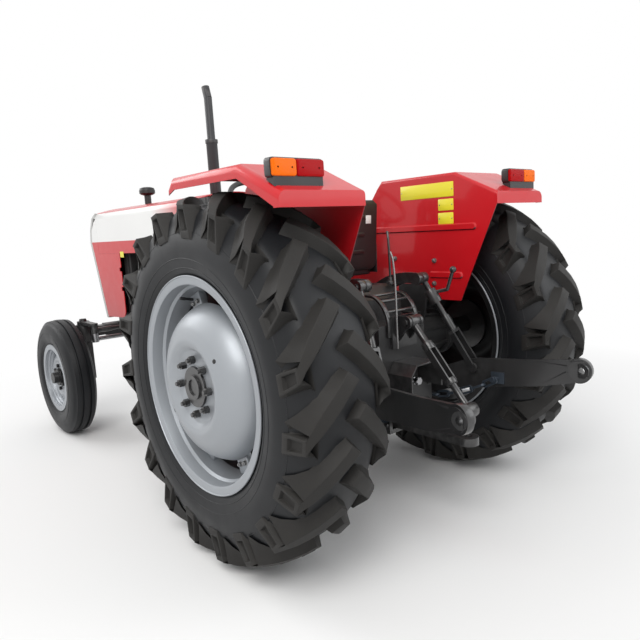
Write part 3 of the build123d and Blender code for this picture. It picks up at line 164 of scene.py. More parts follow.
def ringRound(centre, direction, major, minor, finish, steps=72, sides=16):
    # Round ring about a direction
    turn = Vector(direction).to_track_quat("Z", "X").to_matrix()
    up = turn @ Vector((0, 0, 1))
    rows = []
    for a, b in circle(1.0, steps):
        out = turn @ Vector((a, b, 0))
        rows.append([Vector(centre) + out * (major + across) + up * lift
                     for across, lift in circle(minor, sides)])
    return grid(rows, finish, closeRows=True, closeColumns=True)


def circle(radius, sides=12):
    return [(radius * cos(2 * pi * k / sides), radius * sin(2 * pi * k / sides)) for k in range(sides)]


def boltHead(place, direction, across, finish="boltZinc"):
    # Washer, hexagon and the end of the thread
    radius = across / 1.75
    return [turned(place, direction, [(0, radius * 1.25), (across * 0.1, radius * 1.25)], finish, 20),
            turned(place, direction,
                   [(across * 0.1, radius), (across * 0.62, radius), (across * 0.7, radius * 0.82)],
                   finish, 6),
            turned(place, direction,
                   [(across * 0.6, radius * 0.5), (across * 0.9, radius * 0.46)], finish, 12)]


def mirrored(forms):
    return [([(x, -y, z) for x, y, z in points], [tuple(reversed(face)) for face in faces], finish)
            for points, faces, finish in forms]


def bothSides(forms):
    return forms + mirrored(forms)


def tidyNormals(mesh):
    work = bmesh.new()
    work.from_mesh(mesh)
    bmesh.ops.recalc_face_normals(work, faces=work.faces)
    work.to_mesh(mesh)
    work.free()


def softEdge(piece, width, angle=32):
    # Small rounding on the sharp edges
    soften = piece.modifiers.new("softEdge", "BEVEL")
    soften.width = width
    soften.segments = 2
    soften.limit_method = "ANGLE"
    soften.angle_limit = radians(angle)


def dress(name, forms, body, replaces=(), slot=None, bevel=0.0, angle=32):
    # One object from its forms, with a soft edge and smooth faces
    mesh = bpy.data.meshes.new(name)
    points, faces, numbers, used = [], [], [], []
    for formPoints, formFaces, finish in forms:
        start = len(points)
        if finish not in used:
            used.append(finish)
        points += [tuple(p) for p in formPoints]
        faces += [tuple(start + i for i in face) for face in formFaces]
        numbers += [used.index(finish)] * len(formFaces)
    mesh.from_pydata(points, [], faces)
    mesh.polygons.foreach_set("material_index", numbers)
    for finish in used:
        mesh.materials.append(finishes[finish])
    tidyNormals(mesh)
    mesh.polygons.foreach_set("use_smooth", [True] * len(mesh.polygons))
    mesh.set_sharp_from_angle(angle=radians(angle))
    piece = bpy.data.objects.new(name, mesh)
    scene.collection.objects.link(piece)
    if bevel:
        softEdge(piece, bevel, angle)
        if "sharp_edge" in mesh.attributes:
            mesh.attributes.remove(mesh.attributes["sharp_edge"])
    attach(piece, body)
    if replaces:
        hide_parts(*replaces)


def dressPair(name, forms, body, node, slot, **looks):
    # The left piece and its mirror image on the right, each on its own wheel
    for side, made in (("left", forms), ("right", mirrored(forms))):
        replaced = [node + "_" + side] if node else ()
        dress(name + side.capitalize(), made, body + "_" + side, replaced, slot, **looks)


# Shader groups for effects that several finishes share

def newGroup(name, inputs, outputs):
    tree = bpy.data.node_groups.new(name, "ShaderNodeTree")
    for label, kind, value in inputs:
        socket = tree.interface.new_socket(name=label, in_out="INPUT", socket_type=kind)
        socket.default_value = value
    for label, kind in outputs:
        tree.interface.new_socket(name=label, in_out="OUTPUT", socket_type=kind)
    return tree, tree.nodes.new("NodeGroupInput"), tree.nodes.new("NodeGroupOutput")


def feed(tree, socket, value):
    # A plain number or colour is set, a socket is linked
    if isinstance(value, (int, float, tuple)):
        socket.default_value = value
    else:
        tree.links.new(value, socket)


def mathNode(tree, operation, *values, clamp=False):
    node = tree.nodes.new("ShaderNodeMath")
    node.operation = operation
    node.use_clamp = clamp
    for socket, value in zip(node.inputs, values):
        feed(tree, socket, value)
    return node.outputs[0]


def product(tree, first, second, clamp=False):
    return mathNode(tree, "MULTIPLY", first, second, clamp=clamp)


def mixColour(tree, share, first, second):
    node = tree.nodes.new("ShaderNodeMix")
    node.data_type = "RGBA"
    for index, value in ((0, share), (6, first), (7, second)):
        feed(tree, node.inputs[index], value)
    return node.outputs[2]


def noiseNode(tree, scale, detail, roughness, vector):
    node = tree.nodes.new("ShaderNodeTexNoise")
    for label, value in (("Detail", detail), ("Roughness", roughness), ("Scale", scale), ("Vector", vector)):
        feed(tree, node.inputs[label], value)
    return node.outputs["Fac"]


def spread(tree, value, low, high, toLow=0.0, toHigh=1.0):
    # Value taken from the range low to high into another range
    node = tree.nodes.new("ShaderNodeMapRange")
    for label, given in (("Value", value), ("From Min", low), ("From Max", high), ("To Min", toLow),
                         ("To Max", toHigh)):
        feed(tree, node.inputs[label], given)
    return node.outputs["Result"]


def splitParts(tree, vector):
    node = tree.nodes.new("ShaderNodeSeparateXYZ")
    tree.links.new(vector, node.inputs[0])
    return node.outputs


def objectPlace(tree):
    return tree.nodes.new("ShaderNodeTexCoord").outputs["Object"]


def facing(tree):
    return splitParts(tree, tree.nodes.new("ShaderNodeNewGeometry").outputs["Normal"])


def makeDustGroup():
    # Thin dust that settles on upward faces and low down, with faint mottling
    tree, given, out = newGroup(
        "dustFilm",
        [("Color", "NodeSocketColor", (0.5, 0.5, 0.5, 1)),
         ("Dust Color", "NodeSocketColor", (0.32, 0.28, 0.23, 1)),
         ("Amount", "NodeSocketFloat", 0.2), ("Roughness", "NodeSocketFloat", 0.4),
         ("Mottle", "NodeSocketFloat", 0.1)],
        [("Color", "NodeSocketColor"), ("Roughness", "NodeSocketFloat"), ("Mask", "NodeSocketFloat")])
    where = objectPlace(tree)
    upward = spread(tree, facing(tree)["Z"], -0.2, 1.0, 0.25, 1.0)
    low = spread(tree, splitParts(tree, where)["Z"], 1.3, 0.1, 0.35, 1.0)
    clouds = spread(tree, noiseNode(tree, 6.0, 5.0, 0.6, where), 0.35, 0.75)
    mask = product(tree, product(tree, product(tree, upward, low), clouds), given.outputs["Amount"],
                   clamp=True)
    patches = spread(tree, noiseNode(tree, 2.2, 2.0, 0.5, where), 0.3, 0.7, 0.0, given.outputs["Mottle"])
    mottled = mixColour(tree, patches, given.outputs["Color"], (0.02, 0.02, 0.02, 1))
    tree.links.new(mixColour(tree, mask, mottled, given.outputs["Dust Color"]), out.inputs["Color"])
    rough = mathNode(tree, "MULTIPLY_ADD", mask, 0.5, given.outputs["Roughness"])
    smears = spread(tree, noiseNode(tree, 11.0, 4.0, 0.6, where), 0.3, 0.7, -0.04, 0.05)
    tree.links.new(mathNode(tree, "ADD", rough, smears, clamp=True), out.inputs["Roughness"])
    tree.links.new(mask, out.inputs["Mask"])
    return tree


def makeEdgeGroup():
    # Rubbed edges, found by how sharply the surface bends
    tree, given, out = newGroup(
        "edgeWear",
        [("Color", "NodeSocketColor", (0.5, 0.5, 0.5, 1)),
         ("Wear Color", "NodeSocketColor", (0.4, 0.4, 0.4, 1)),
         ("Amount", "NodeSocketFloat", 0.5), ("Scale", "NodeSocketFloat", 30.0)],
        [("Color", "NodeSocketColor"), ("Mask", "NodeSocketFloat")])
    where = objectPlace(tree)
    sharp = spread(tree, tree.nodes.new("ShaderNodeNewGeometry").outputs["Pointiness"], 0.51, 0.58)
    broken = spread(tree, noiseNode(tree, given.outputs["Scale"], 4.0, 0.65, where), 0.4, 0.62)
    mask = product(tree, product(tree, sharp, broken), given.outputs["Amount"], clamp=True)
    tree.links.new(mixColour(tree, mask, given.outputs["Color"], given.outputs["Wear Color"]),
                   out.inputs["Color"])
    tree.links.new(mask, out.inputs["Mask"])
    return tree


def makeGrainGroup():
    # Fine relief: grain, orange peel or cast skin by its scale
    tree, given, out = newGroup(
        "surfaceGrain",
        [("Scale", "NodeSocketFloat", 200.0), ("Coarse", "NodeSocketFloat", 0.3)],
        [("Height", "NodeSocketFloat")])
    where = objectPlace(tree)
    fine = noiseNode(tree, given.outputs["Scale"], 3.0, 0.6, where)
    broad = noiseNode(tree, product(tree, given.outputs["Scale"], 0.12), 2.0, 0.5, where)
    tree.links.new(mathNode(tree, "MULTIPLY_ADD", broad, given.outputs["Coarse"], fine), out.inputs["Height"])
    return tree


dustGroup = makeDustGroup()
edgeGroup = makeEdgeGroup()
grainGroup = makeGrainGroup()


def placeGroup(tree, group, **values):
    node = tree.nodes.new("ShaderNodeGroup")
    node.node_tree = group
    for label, value in values.items():
        node.inputs[label.replace("_", " ")].default_value = value
    return node


def finish(name, colour, roughness, metallic=0.0, coat=0.0, coatRoughness=0.06, dust=0.2, mottle=0.06,
           wear=0.0, wearColour=(0.3, 0.3, 0.3, 1), grain=250.0, coarse=0.3, relief=0.15, reliefDepth=0.0004,
           specular=0.5, paint=None):
    # Painted, moulded or bare surface with dust, wear and grain
    material = bpy.data.materials.new(name)
    material.use_nodes = True
    tree = material.node_tree
    shader = tree.nodes["Principled BSDF"]
    for label, value in (("Metallic", metallic), ("Coat Weight", coat), ("Coat Roughness", coatRoughness),
                         ("Specular IOR Level", specular)):
        shader.inputs[label].default_value = value
    source = placeGroup(tree, dustGroup, Color=(*colour, 1), Amount=dust, Roughness=roughness, Mottle=mottle)
    if paint:
        tree.links.new(paint(tree), source.inputs["Color"])
    elif wear:
        rubbed = placeGroup(tree, edgeGroup, Color=(*colour, 1), Wear_Color=wearColour, Amount=wear)
        tree.links.new(rubbed.outputs["Color"], source.inputs["Color"])
    tree.links.new(source.outputs["Color"], shader.inputs["Base Color"])
    tree.links.new(source.outputs["Roughness"], shader.inputs["Roughness"])
    bump = tree.nodes.new("ShaderNodeBump")
    bump.inputs["Strength"].default_value = relief
    bump.inputs["Distance"].default_value = reliefDepth
    tree.links.new(placeGroup(tree, grainGroup, Scale=grain, Coarse=coarse).outputs["Height"],
                   bump.inputs["Height"])
    tree.links.new(bump.outputs["Normal"], shader.inputs["Normal"])
    return material


red = (0.54, 0.006, 0.012)
white = (0.80, 0.80, 0.79)
silver = (0.34, 0.36, 0.385)
black = (0.010, 0.010, 0.011)
strip = (0.46, 0.46, 0.45)
# Deep maroon for the painted shade on the fenders' downward faces
shadeMaroon = (0.10, 0.004, 0.010)
hoodStripe = dict(low=1.245, high=1.437, fadeFrom=0.62, fadeTo=0.22, soft=0.0015)  # heights and x of the fade
# Limits of the painted shade on the rear wheels: distance from the middle, then radii
rearShadeLimits = dict(shadedInnerSide=0.700, discEdge=0.352, lip=0.4005)  # distance from the middle, then radii
# Front wheels: black hub and nut radii, and the band of painted shade on the inner side
frontPaintAndShade = dict(hub=0.0635, nuts=0.0905, face=0.0352, innerShadeFrom=-0.060, innerShadeTo=-0.010)
noseEdge = 0.2325  # half width of the grille between its pale strips


def over(tree, value, limit, soft=0.0004):
    return spread(tree, value, limit - soft, limit + soft)


def under(tree, value, limit, soft=0.0004):
    return spread(tree, value, limit + soft, limit - soft)


def wheelPlace(tree, hub):
    # Distance from the middle of the tractor, and from the wheel's axle
    place = splitParts(tree, objectPlace(tree))
    dx = mathNode(tree, "SUBTRACT", place["X"], hub.x)
    dz = mathNode(tree, "SUBTRACT", place["Z"], hub.z)
    far = mathNode(tree, "SQRT", mathNode(tree, "ADD", product(tree, dx, dx), product(tree, dz, dz)))
    return place["Y"], mathNode(tree, "ABSOLUTE", place["Y"]), far


def paintOver(tree, share, first, second):
    return mixColour(tree, share, (*first, 1), (*second, 1))


def rearWheelPaintAndShade(tree):
    # Silver, with painted shade: the inner side behind the thin lip of the flange is painted black
    y, across, far = wheelPlace(tree, rearHub)
    outward = product(tree, facing(tree)["Y"], mathNode(tree, "SIGN", y))
    # Painted shade: black on the inner side and on the disc's inward faces, stopping at the flange's lip
    inner = under(tree, across, rearShadeLimits["shadedInnerSide"], 0.003)
    behind = product(tree, spread(tree, outward, -0.25, -0.35), under(tree, far, rearShadeLimits["discEdge"]))
    paintedShade = mathNode(tree, "SUBTRACT", mathNode(tree, "MAXIMUM", inner, behind),
                    over(tree, far, rearShadeLimits["lip"]), clamp=True)
    return paintOver(tree, paintedShade, silver, black)


def frontWheelPaintAndShade(tree):
    # Silver disc with a black hub and nuts, and painted shade in black on the inner side
    y, across, far = wheelPlace(tree, frontHub)
    nuts = product(tree, under(tree, far, frontPaintAndShade["nuts"]),
                   over(tree, across, frontHub.y + frontPaintAndShade["face"]))
    # Painted shade: a black band across the wheel's inner side
    inner = mathNode(tree, "SUBTRACT", over(tree, across, frontHub.y + frontPaintAndShade["innerShadeFrom"]),
                     over(tree, across, frontHub.y + frontPaintAndShade["innerShadeTo"]))
    hubAndNuts = mathNode(tree, "MAXIMUM", under(tree, far, frontPaintAndShade["hub"]), nuts)
    return paintOver(tree, mathNode(tree, "MAXIMUM", hubAndNuts, inner, clamp=True), silver, black)


def nosePaint(tree):
    # Black grille between pale side strips
    across = mathNode(tree, "ABSOLUTE", splitParts(tree, objectPlace(tree))["Y"])
    return paintOver(tree, over(tree, across, noseEdge), black, strip)


def fenderPaintAndShade(tree):
    # Red, with painted shade: the downward faces in deep maroon
    return paintOver(tree, spread(tree, facing(tree)["Z"], -0.25, -0.45), red, shadeMaroon)


def hoodPaint(tree):
    # Red with a white band along the side that fades out towards the driver
    place = splitParts(tree, objectPlace(tree))
    band = product(tree, over(tree, place["Z"], hoodStripe["low"], hoodStripe["soft"]),
                   under(tree, place["Z"], hoodStripe["high"], hoodStripe["soft"]))
    along = spread(tree, place["X"], hoodStripe["fadeTo"], hoodStripe["fadeFrom"])
    return paintOver(tree, product(tree, band, along), red, white)


gloss = dict(roughness=0.38, specular=0.3, coat=0.45, coatRoughness=0.08, dust=0.04, grain=420, relief=0.1)
wheelGloss = dict(roughness=0.44, metallic=0.5, coat=0.12, coatRoughness=0.3, dust=0.05, mottle=0.03,
                  grain=600, relief=0.1)
castSkin = dict(roughness=0.5, grain=140, coarse=0.8, relief=0.5, reliefDepth=0.0008)
lens = dict(roughness=0.3, dust=0.0, grain=90, relief=0.25, reliefDepth=0.001)
finishLooks = {
    "redPaint": dict(colour=red, **gloss),
    "hoodPaint": dict(colour=red, paint=hoodPaint, **gloss),
    "fenderPaintAndShade": dict(colour=red, paint=fenderPaintAndShade, **gloss),
    "nosePaint": dict(colour=strip, roughness=0.42, coat=0.3, dust=0.05, grain=420, paint=nosePaint),
    "rearWheelPaintAndShade": dict(colour=silver, paint=rearWheelPaintAndShade, **wheelGloss),
    "frontWheelPaintAndShade": dict(colour=silver, paint=frontWheelPaintAndShade, **wheelGloss),
    "whitePaint": dict(colour=white, roughness=0.35, coat=0.6, dust=0.1, grain=420, relief=0.1),
    "blackEnamel": dict(colour=(0.012, 0.012, 0.013), roughness=0.36, coat=0.5, coatRoughness=0.15, dust=0.06,
                        wear=0.4, wearColour=(0.09, 0.09, 0.09, 1), grain=300, relief=0.2),
    "castBlack": dict(colour=(0.012, 0.012, 0.013), coat=0.25, coatRoughness=0.25, dust=0.09, wear=0.3,
                      wearColour=(0.08, 0.08, 0.08, 1), **castSkin),
    "castGrey": dict(colour=(0.030, 0.032, 0.035), coat=0.2, coatRoughness=0.3, dust=0.15, wear=0.4,
                     wearColour=(0.2, 0.2, 0.2, 1), **castSkin),
    # Black rubber, with a faint blue tint in its colour that is a painted sky reflection
    "carcassRubber": dict(colour=(0.0065, 0.0072, 0.0088), roughness=0.46, dust=0.012, mottle=0.0,
                          specular=0.32, grain=520, relief=0.25, reliefDepth=0.0003),
    "treadRubber": dict(colour=(0.0165, 0.0155, 0.0145), roughness=0.60, dust=0.035, mottle=0.0,
                        specular=0.30, grain=320, coarse=0.8, relief=0.45, reliefDepth=0.0006),
    "matteBlack": dict(colour=(0.012, 0.012, 0.013), roughness=0.6, dust=0.08, grain=500, relief=0.3),
    "heatBlack": dict(colour=(0.028, 0.029, 0.033), roughness=0.52, dust=0.15, grain=260, relief=0.4,
                      wear=0.6, wearColour=(0.16, 0.15, 0.14, 1)),
    "seatVinyl": dict(colour=(0.016, 0.016, 0.017), roughness=0.42, dust=0.1, grain=900, coarse=0.1,
                      relief=0.5, reliefDepth=0.0006, specular=0.45),
    "mouldedBlack": dict(colour=(0.013, 0.013, 0.014), roughness=0.42, dust=0.05, grain=700, relief=0.25),
    "brightSteel": dict(colour=(0.36, 0.36, 0.37), roughness=0.30, metallic=1.0, dust=0.1, grain=500),
    "boltZinc": dict(colour=(0.30, 0.30, 0.30), roughness=0.38, metallic=0.9, grain=500, relief=0.2),
    "chainSteel": dict(colour=(0.05, 0.065, 0.085), roughness=0.42, metallic=0.6, dust=0.08, grain=300,
                       relief=0.3),
    "yellowPlate": dict(colour=(0.80, 0.72, 0.03), roughness=0.4, coat=0.3, dust=0.05, grain=300,
                        relief=0.05),
    "amberLens": dict(colour=(0.85, 0.15, 0.002), specular=0.12, **lens),
    "redLens": dict(colour=(0.36, 0.001, 0.003), specular=0.1, **lens),
    "lampGlass": dict(colour=(0.62, 0.66, 0.68), roughness=0.08, metallic=0.6, coat=1.0, dust=0.05, grain=60,
                      relief=0.4, reliefDepth=0.001),
}
finishes = {name: finish(name, **looks) for name, looks in finishLooks.items()}
print("finishes:", len(finishes))


def withSides(names):
    # A name that ends in _ stands for the left and the right node
    return [name + side for name in names for side in (("left", "right") if name.endswith("_") else ("",))]


nodeFinish = {
    "castBlack": ("axle_trumpets", "rear_axle_case", "gearbox", "front_axle_beam", "front_support",
                  "knuckle_", "lift_cover"),
    "castGrey": ("engine_block", "engine_accessories", "manifolds"),
    "blackEnamel": ("pedals", "gear_levers", "drawbar", "footplates", "lift_arms", "lift_rod_", "lower_link_",
                    "top_link", "top_link_bracket", "pto_guard", "seat_stand", "steering_cylinder", "tie_rod",
                    "rear_hub_"),
    "matteBlack": ("radiator", "fan"),
    "nosePaint": ("grille",),
    "mouldedBlack": ("dash_cowl", "precleaner", "steering_wheel", "seat"),
    "heatBlack": ("exhaust_stack",),
    "brightSteel": ("steering_ram",),
    "rearWheelPaintAndShade": ("rear_wheel_",),
    "frontWheelPaintAndShade": ("front_wheel_",),
    "fenderPaintAndShade": ("fender_",),
    "hoodPaint": ("side_panels", "hood"),
    "carcassRubber": ("rear_tyre_", "front_tyre_"),
    "redLens": ("tail_lamps",),
    "lampGlass": ("headlamps",),
    "chainSteel": ("check_chain_",),
}
for finishName, nodes in nodeFinish.items():
    for node in withSides(nodes):
        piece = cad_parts[node]
        piece.data.materials.clear()
        piece.data.materials.append(finishes[finishName])

# Soft edges on the carried-over nodes: edge width by node
softEdges = {
    0.0035: ("rear_axle_case", "gearbox", "engine_block", "axle_trumpets", "lift_cover", "front_axle_beam"),
    0.0020: ("lift_arms", "lower_link_", "lift_rod_", "drawbar", "front_support", "knuckle_",
             "top_link_bracket", "top_link", "radiator", "engine_accessories", "manifolds", "dash_cowl",
             "pedals", "seat_stand", "headlamps"),
    0.0012: ("fender_", "hood", "side_panels", "footplates", "pto_guard", "exhaust_stack", "front_wheel_",
             "rear_hub_", "grille", "check_chain_"),
}
for width, nodes in softEdges.items():
    for node in withSides(nodes):
        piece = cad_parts[node]
        weld = piece.modifiers.new("weld", "WELD")
        weld.merge_threshold = 0.00002
        softEdge(piece, width)


# Rear tyres: a round carcass with hooked lugs, and a pocket in the end of each lug
rearTyre = dict(
    tip=0.700, lugHeight=0.038, seat=0.3785, flange=0.411, beadHalf=0.1555, lugs=19, startAngle=-1.0,
    endFace=0.1775, footTop=0.657, footRadius=0.541, pocketDepth=0.013, steps=152,
    wall=((0.164, 0.424), (0.1715, 0.446), (0.179, 0.487), (0.1775, 0.520), (0.1690, 0.556), (0.1550, 0.592),
          (0.1390, 0.622)),  # outline of one side as (y, radius)
    tread=((0.118, -0.0175), (0.09, -0.008), (0.045, -0.002), (0.0, 0.0)),  # the tread, from its crown
    rings=((0.436, 0.0016), (0.470, 0.0012), (0.560, 0.0012)),  # radius and how proud
    lugEdges=(((0.030, 0.0), (-0.009, 2.7)), ((0.056, 2.4), (0.022, 5.0)), ((0.095, 5.6), (0.062, 8.3)),
              ((0.130, 8.8), (0.099, 11.5)), ((0.152, 11.6), (0.131, 14.4)), ((0.168, 14.2), (0.157, 16.9))),
    crown=(0.9, 16),  # how the lugs' tips fall across the tread
    footLead=(15.4, 1.0), footTrail=(19.6, 3.7),  # degrees of the end faces
    footShares=(0.0, 0.14, 0.17, 0.74, 0.78, 1.0), acrossShares=(0.0, 0.15, 0.20, 0.80, 0.85, 1.0))


def carcassHalf():
    # Half of the tyre's outline from the bead to the middle of the tread, (y, radius)
    t = rearTyre
    crown = t["tip"] - t["lugHeight"]
    line = [(t["beadHalf"], t["flange"]), *t["wall"], *((y, crown + drop) for y, drop in t["tread"])]
    return [(t["beadHalf"], t["seat"])] + [tuple(p) for p in smoothPath(line, 4)]


def treadLow(y, half):
    # Radius of the carcass at a distance from its middle plane
    for (y0, r0), (y1, r1) in zip(half[::-1], half[-2::-1]):
        if y0 <= abs(y) <= y1:
            return r0 + (r1 - r0) * (abs(y) - y0) / max(y1 - y0, 0.0001)
    return half[-1][1]


def wallAt(radius, half):
    # Half width of the carcass at a radius
    for (y0, r0), (y1, r1) in zip(half, half[1:]):
        if r0 <= radius <= r1 and r1 > r0:
            return y0 + (y1 - y0) * (radius - r0) / (r1 - r0)
    return half[-1][0]


def lugStations():
    # Columns of a lug: (y, degrees, radius) of its leading edge and of its trailing edge
    t = rearTyre
    round2, round4 = t["crown"]
    stations = [[(y, degrees, t["tip"] - round2 * y ** 2 - round4 * y ** 4) for y, degrees in edges]
                for edges in t["lugEdges"]]
    for share in t["footShares"]:
        radius = t["footTop"] + share * (t["footRadius"] - t["footTop"])
        stations.append([(t["endFace"], start + grow * share, radius)
                         for start, grow in (t["footLead"], t["footTrail"])])
    return stations


def treadFeet(lead, trail, half, nose):
    # Where the flanks of a lug run into the tread
    low, lowT = treadLow(lead[0], half) - 0.004, treadLow(trail[0], half) - 0.004
    rise = 0.30 * (lead[2] - low)
    if nose:
        return ([(lead[0] - 0.004, lead[1] - 1.7, low), (lead[0] - 0.002, lead[1] - 0.7, low + rise)],
                [(trail[0] - 0.012, trail[1] + 0.4, lowT + rise), (trail[0] - 0.022, trail[1] + 1.0, lowT)])
    return ([(lead[0] + 0.010, lead[1] - 2.0, low), (lead[0] + 0.004, lead[1] - 0.9, low + rise)],
            [(trail[0] - 0.005, trail[1] + 0.9, lowT + rise), (trail[0] - 0.012, trail[1] + 2.0, lowT)])


def wallFeet(lead, trail, half, share):
    # Where the flanks of a lug run into the side wall
    skin = wallAt(lead[2], half) - 0.003 if share else 0.125
    proud = skin + 0.35 * (lead[0] - skin)
    flare = 1 - share
    return ([(skin, lead[1] - 2.0 * flare - 0.8, lead[2] - 0.004), (proud, lead[1] - 0.8 * flare, lead[2])],
            [(proud, trail[1] + 0.8, trail[2]), (skin, trail[1] + 2.0 * flare + 0.6, trail[2] - 0.004)])


def oneLug(half):
    # Points of one lug as (y, degrees, radius) rows, the nose first
    rows = []
    onTread = len(rearTyre["lugEdges"])
    stations = lugStations()
    for index, (lead, trail) in enumerate(stations):
        top = [tuple(a + share * (b - a) for a, b in zip(lead, trail)) for share in rearTyre["acrossShares"]]
        if index < onTread:
            leadFoot, trailFoot = treadFeet(lead, trail, half, index == 0)
        else:
            share = (index - onTread) / (len(stations) - 1 - onTread)
            leadFoot, trailFoot = wallFeet(lead, trail, half, share)
        if index - onTread in (2, 3):  # the pocket's floor
            top[2:4] = [(y - rearTyre["pocketDepth"], degrees, radius) for y, degrees, radius in top[2:4]]
        rows.append(leadFoot + top + trailFoot)
    return rows


def sideRings(y, radius, hub, proud, half, foot, steps):
    # Thin raised ring on both side walls
    forms = []
    for side in (1, -1):
        section = [(side * (y - 0.004), radius - foot), (side * (y + proud), radius - half),
                   (side * (y + proud), radius + half), (side * (y - 0.004), radius + foot)]
        forms.append(spun(section, hub, "carcassRubber", steps))
    return forms


def rearTyreForms():
    half = carcassHalf()
    outline = half + [(-y, r) for y, r in reversed(half[:-1])]
    forms = [spun(outline, rearHub, "carcassRubber", rearTyre["steps"])]
    for radius, proud in rearTyre["rings"]:
        forms += sideRings(wallAt(radius, half), radius, rearHub, proud, 0.0012, 0.004, rearTyre["steps"])
    rows = oneLug(half)
    pitch = 360 / rearTyre["lugs"]
    for side in (1, -1):
        for index in range(rearTyre["lugs"]):
            turn = rearTyre["startAngle"] + (index + (0.5 if side < 0 else 0)) * pitch
            placed = [[rearHub + wheelTurn(turn + degrees) * radius + Vector((0, side * y, 0))
                       for y, degrees, radius in row] for row in rows]
            forms.append(grid(placed, "treadRubber", closeColumns=True, caps=True))
    return forms


dressPair("rearTyre", rearTyreForms(), "wheel_rear", "rear_tyre", "tyre", bevel=0.002, angle=38)
print("rear tyres")

# Front tyres: narrow carcass with three ribs
frontTyre = dict(
    seat=0.1985, flange=0.2235, beadHalf=0.0605, tread=0.366, steps=128,
    wall=((0.0635, 0.2245), (0.075, 0.240), (0.0825, 0.262), (0.0848, 0.290), (0.0815, 0.320),
          (0.0725, 0.345), (0.0635, 0.357)),
    ribs=((0.058, -0.003), (0.0545, 0.0045), (0.0320, 0.0085), (0.0290, -0.001), (0.0185, 0.0),
          (0.0155, 0.0102), (0.0, 0.011)),  # across the tread, from its groove's floor
    rings=((0.246, 0.0778), (0.300, 0.0850)))


def frontTyreForms():
    t = frontTyre
    half = [(t["beadHalf"], t["seat"]), (t["beadHalf"], t["flange"])]
    half += [tuple(p) for p in smoothPath(t["wall"], 4)]
    half += [(y, t["tread"] + rise) for y, rise in t["ribs"]]
    forms = [spun(half + [(-y, r) for y, r in reversed(half[:-1])], frontHub, "carcassRubber", t["steps"])]
    for radius, y in t["rings"]:
        forms += sideRings(y, radius, frontHub, 0.0008, 0.001, 0.003, t["steps"])
    return forms


dressPair("frontTyre", frontTyreForms(), "wheel_front", "front_tyre", "tyre", angle=50)
print("front tyres")

# Power take-off shaft: flange, six splines and the lock groove
ptoShaft = dict(height=0.600, start=-0.2755, neck=-0.282, end=-0.358, flange=0.030, top=0.01745, root=0.0150,
                groove=(-0.336, -0.342), teeth=6, toothHalf=14.4, flank=2.5)


def ptoForms():
    t = ptoShaft
    top, root, (low, high) = t["top"], t["root"], t["groove"]
    flange = turned(at(t["start"], 0, t["height"]), (-1, 0, 0),
                    [(0, 0.028), (0.001, t["flange"]), (0.0055, t["flange"]), (0.0065, 0.028)],
                    "brightSteel", 32)
    pitch = 360 / t["teeth"]
    edge = t["toothHalf"] + t["flank"]
    rows = []
    for x, outer, inner in ((t["neck"] + 0.002, root, root), (t["neck"] - 0.004, root, root),
                            (t["neck"] - 0.006, top, root), (low + 0.0015, top, root),
                            (low, root - 0.0004, root - 0.0004), (high, root - 0.0004, root - 0.0004),
                            (high - 0.0015, top, root), (t["end"] + 0.002, top, root),
                            (t["end"], root + 0.0004, root - 0.0012)):
        tooth = ((-t["toothHalf"], outer), (0, outer), (t["toothHalf"], outer), (edge, inner),
                 (pitch / 2, inner), (pitch - edge, inner))
        rows.append([at(x, radius * cos(radians(pitch * index + turn)),
                        t["height"] + radius * sin(radians(pitch * index + turn)))
                     for index in range(t["teeth"]) for turn, radius in tooth])
    return [flange, grid(rows, "brightSteel", closeColumns=True, caps=True)]


dress("ptoShaft", ptoForms(), "pto_shaft", ["pto_shaft"], "bright")

# Rear wheels: rolled rim, dished disc with two small holes drawn as black discs of painted shade, welded lugs
# and a valve stem
rearWheel = dict(
    steps=144,
    outer=((0.1650, 0.4050), (0.1640, 0.4085), (0.1610, 0.4099), (0.1575, 0.4088), (0.1558, 0.4050),
           (0.1556, 0.3860), (0.1530, 0.3790), (0.1120, 0.3785), (0.1030, 0.3690), (0.0858, 0.3686),
           (0.0530, 0.3562)),  # tyre side of the rim as (y, radius)
    inner=((0.1612, 0.4040), (0.1612, 0.3850), (0.1580, 0.3750), (0.1140, 0.3730), (0.1050, 0.3632),
           (0.0868, 0.3628), (0.0540, 0.3502)),
    pilot=((0.165, 0.076), (0.165, 0.134), (0.168, 0.139)),
    crest=((0.181, 0.154), (0.187, 0.174), (0.181, 0.198)),
    dome=((0.181, 0.198), (0.168, 0.229), (0.143, 0.262), (0.112, 0.285), (0.080, 0.300)),
    under=((0.068, 0.294), (0.131, 0.254), (0.167, 0.194)),
    back=((0.167, 0.160), (0.153, 0.140), (0.153, 0.076)), lugs=8, lugTurn=67.5, lugHalf=0.037,
    lug=((0.054, 0.266), (0.069, 0.266), (0.069, 0.352), (0.034, 0.352), (0.034, 0.332)),
    boltRadius=0.318, boltFace=0.069, boltSides=(-0.018, 0.018), holeTurns=(145, 325), holeCircle=0.205,
    holeFace=0.1745, holeRadius=0.0082, stemTurn=64, stemRadius=0.338, stemFoot=0.070)


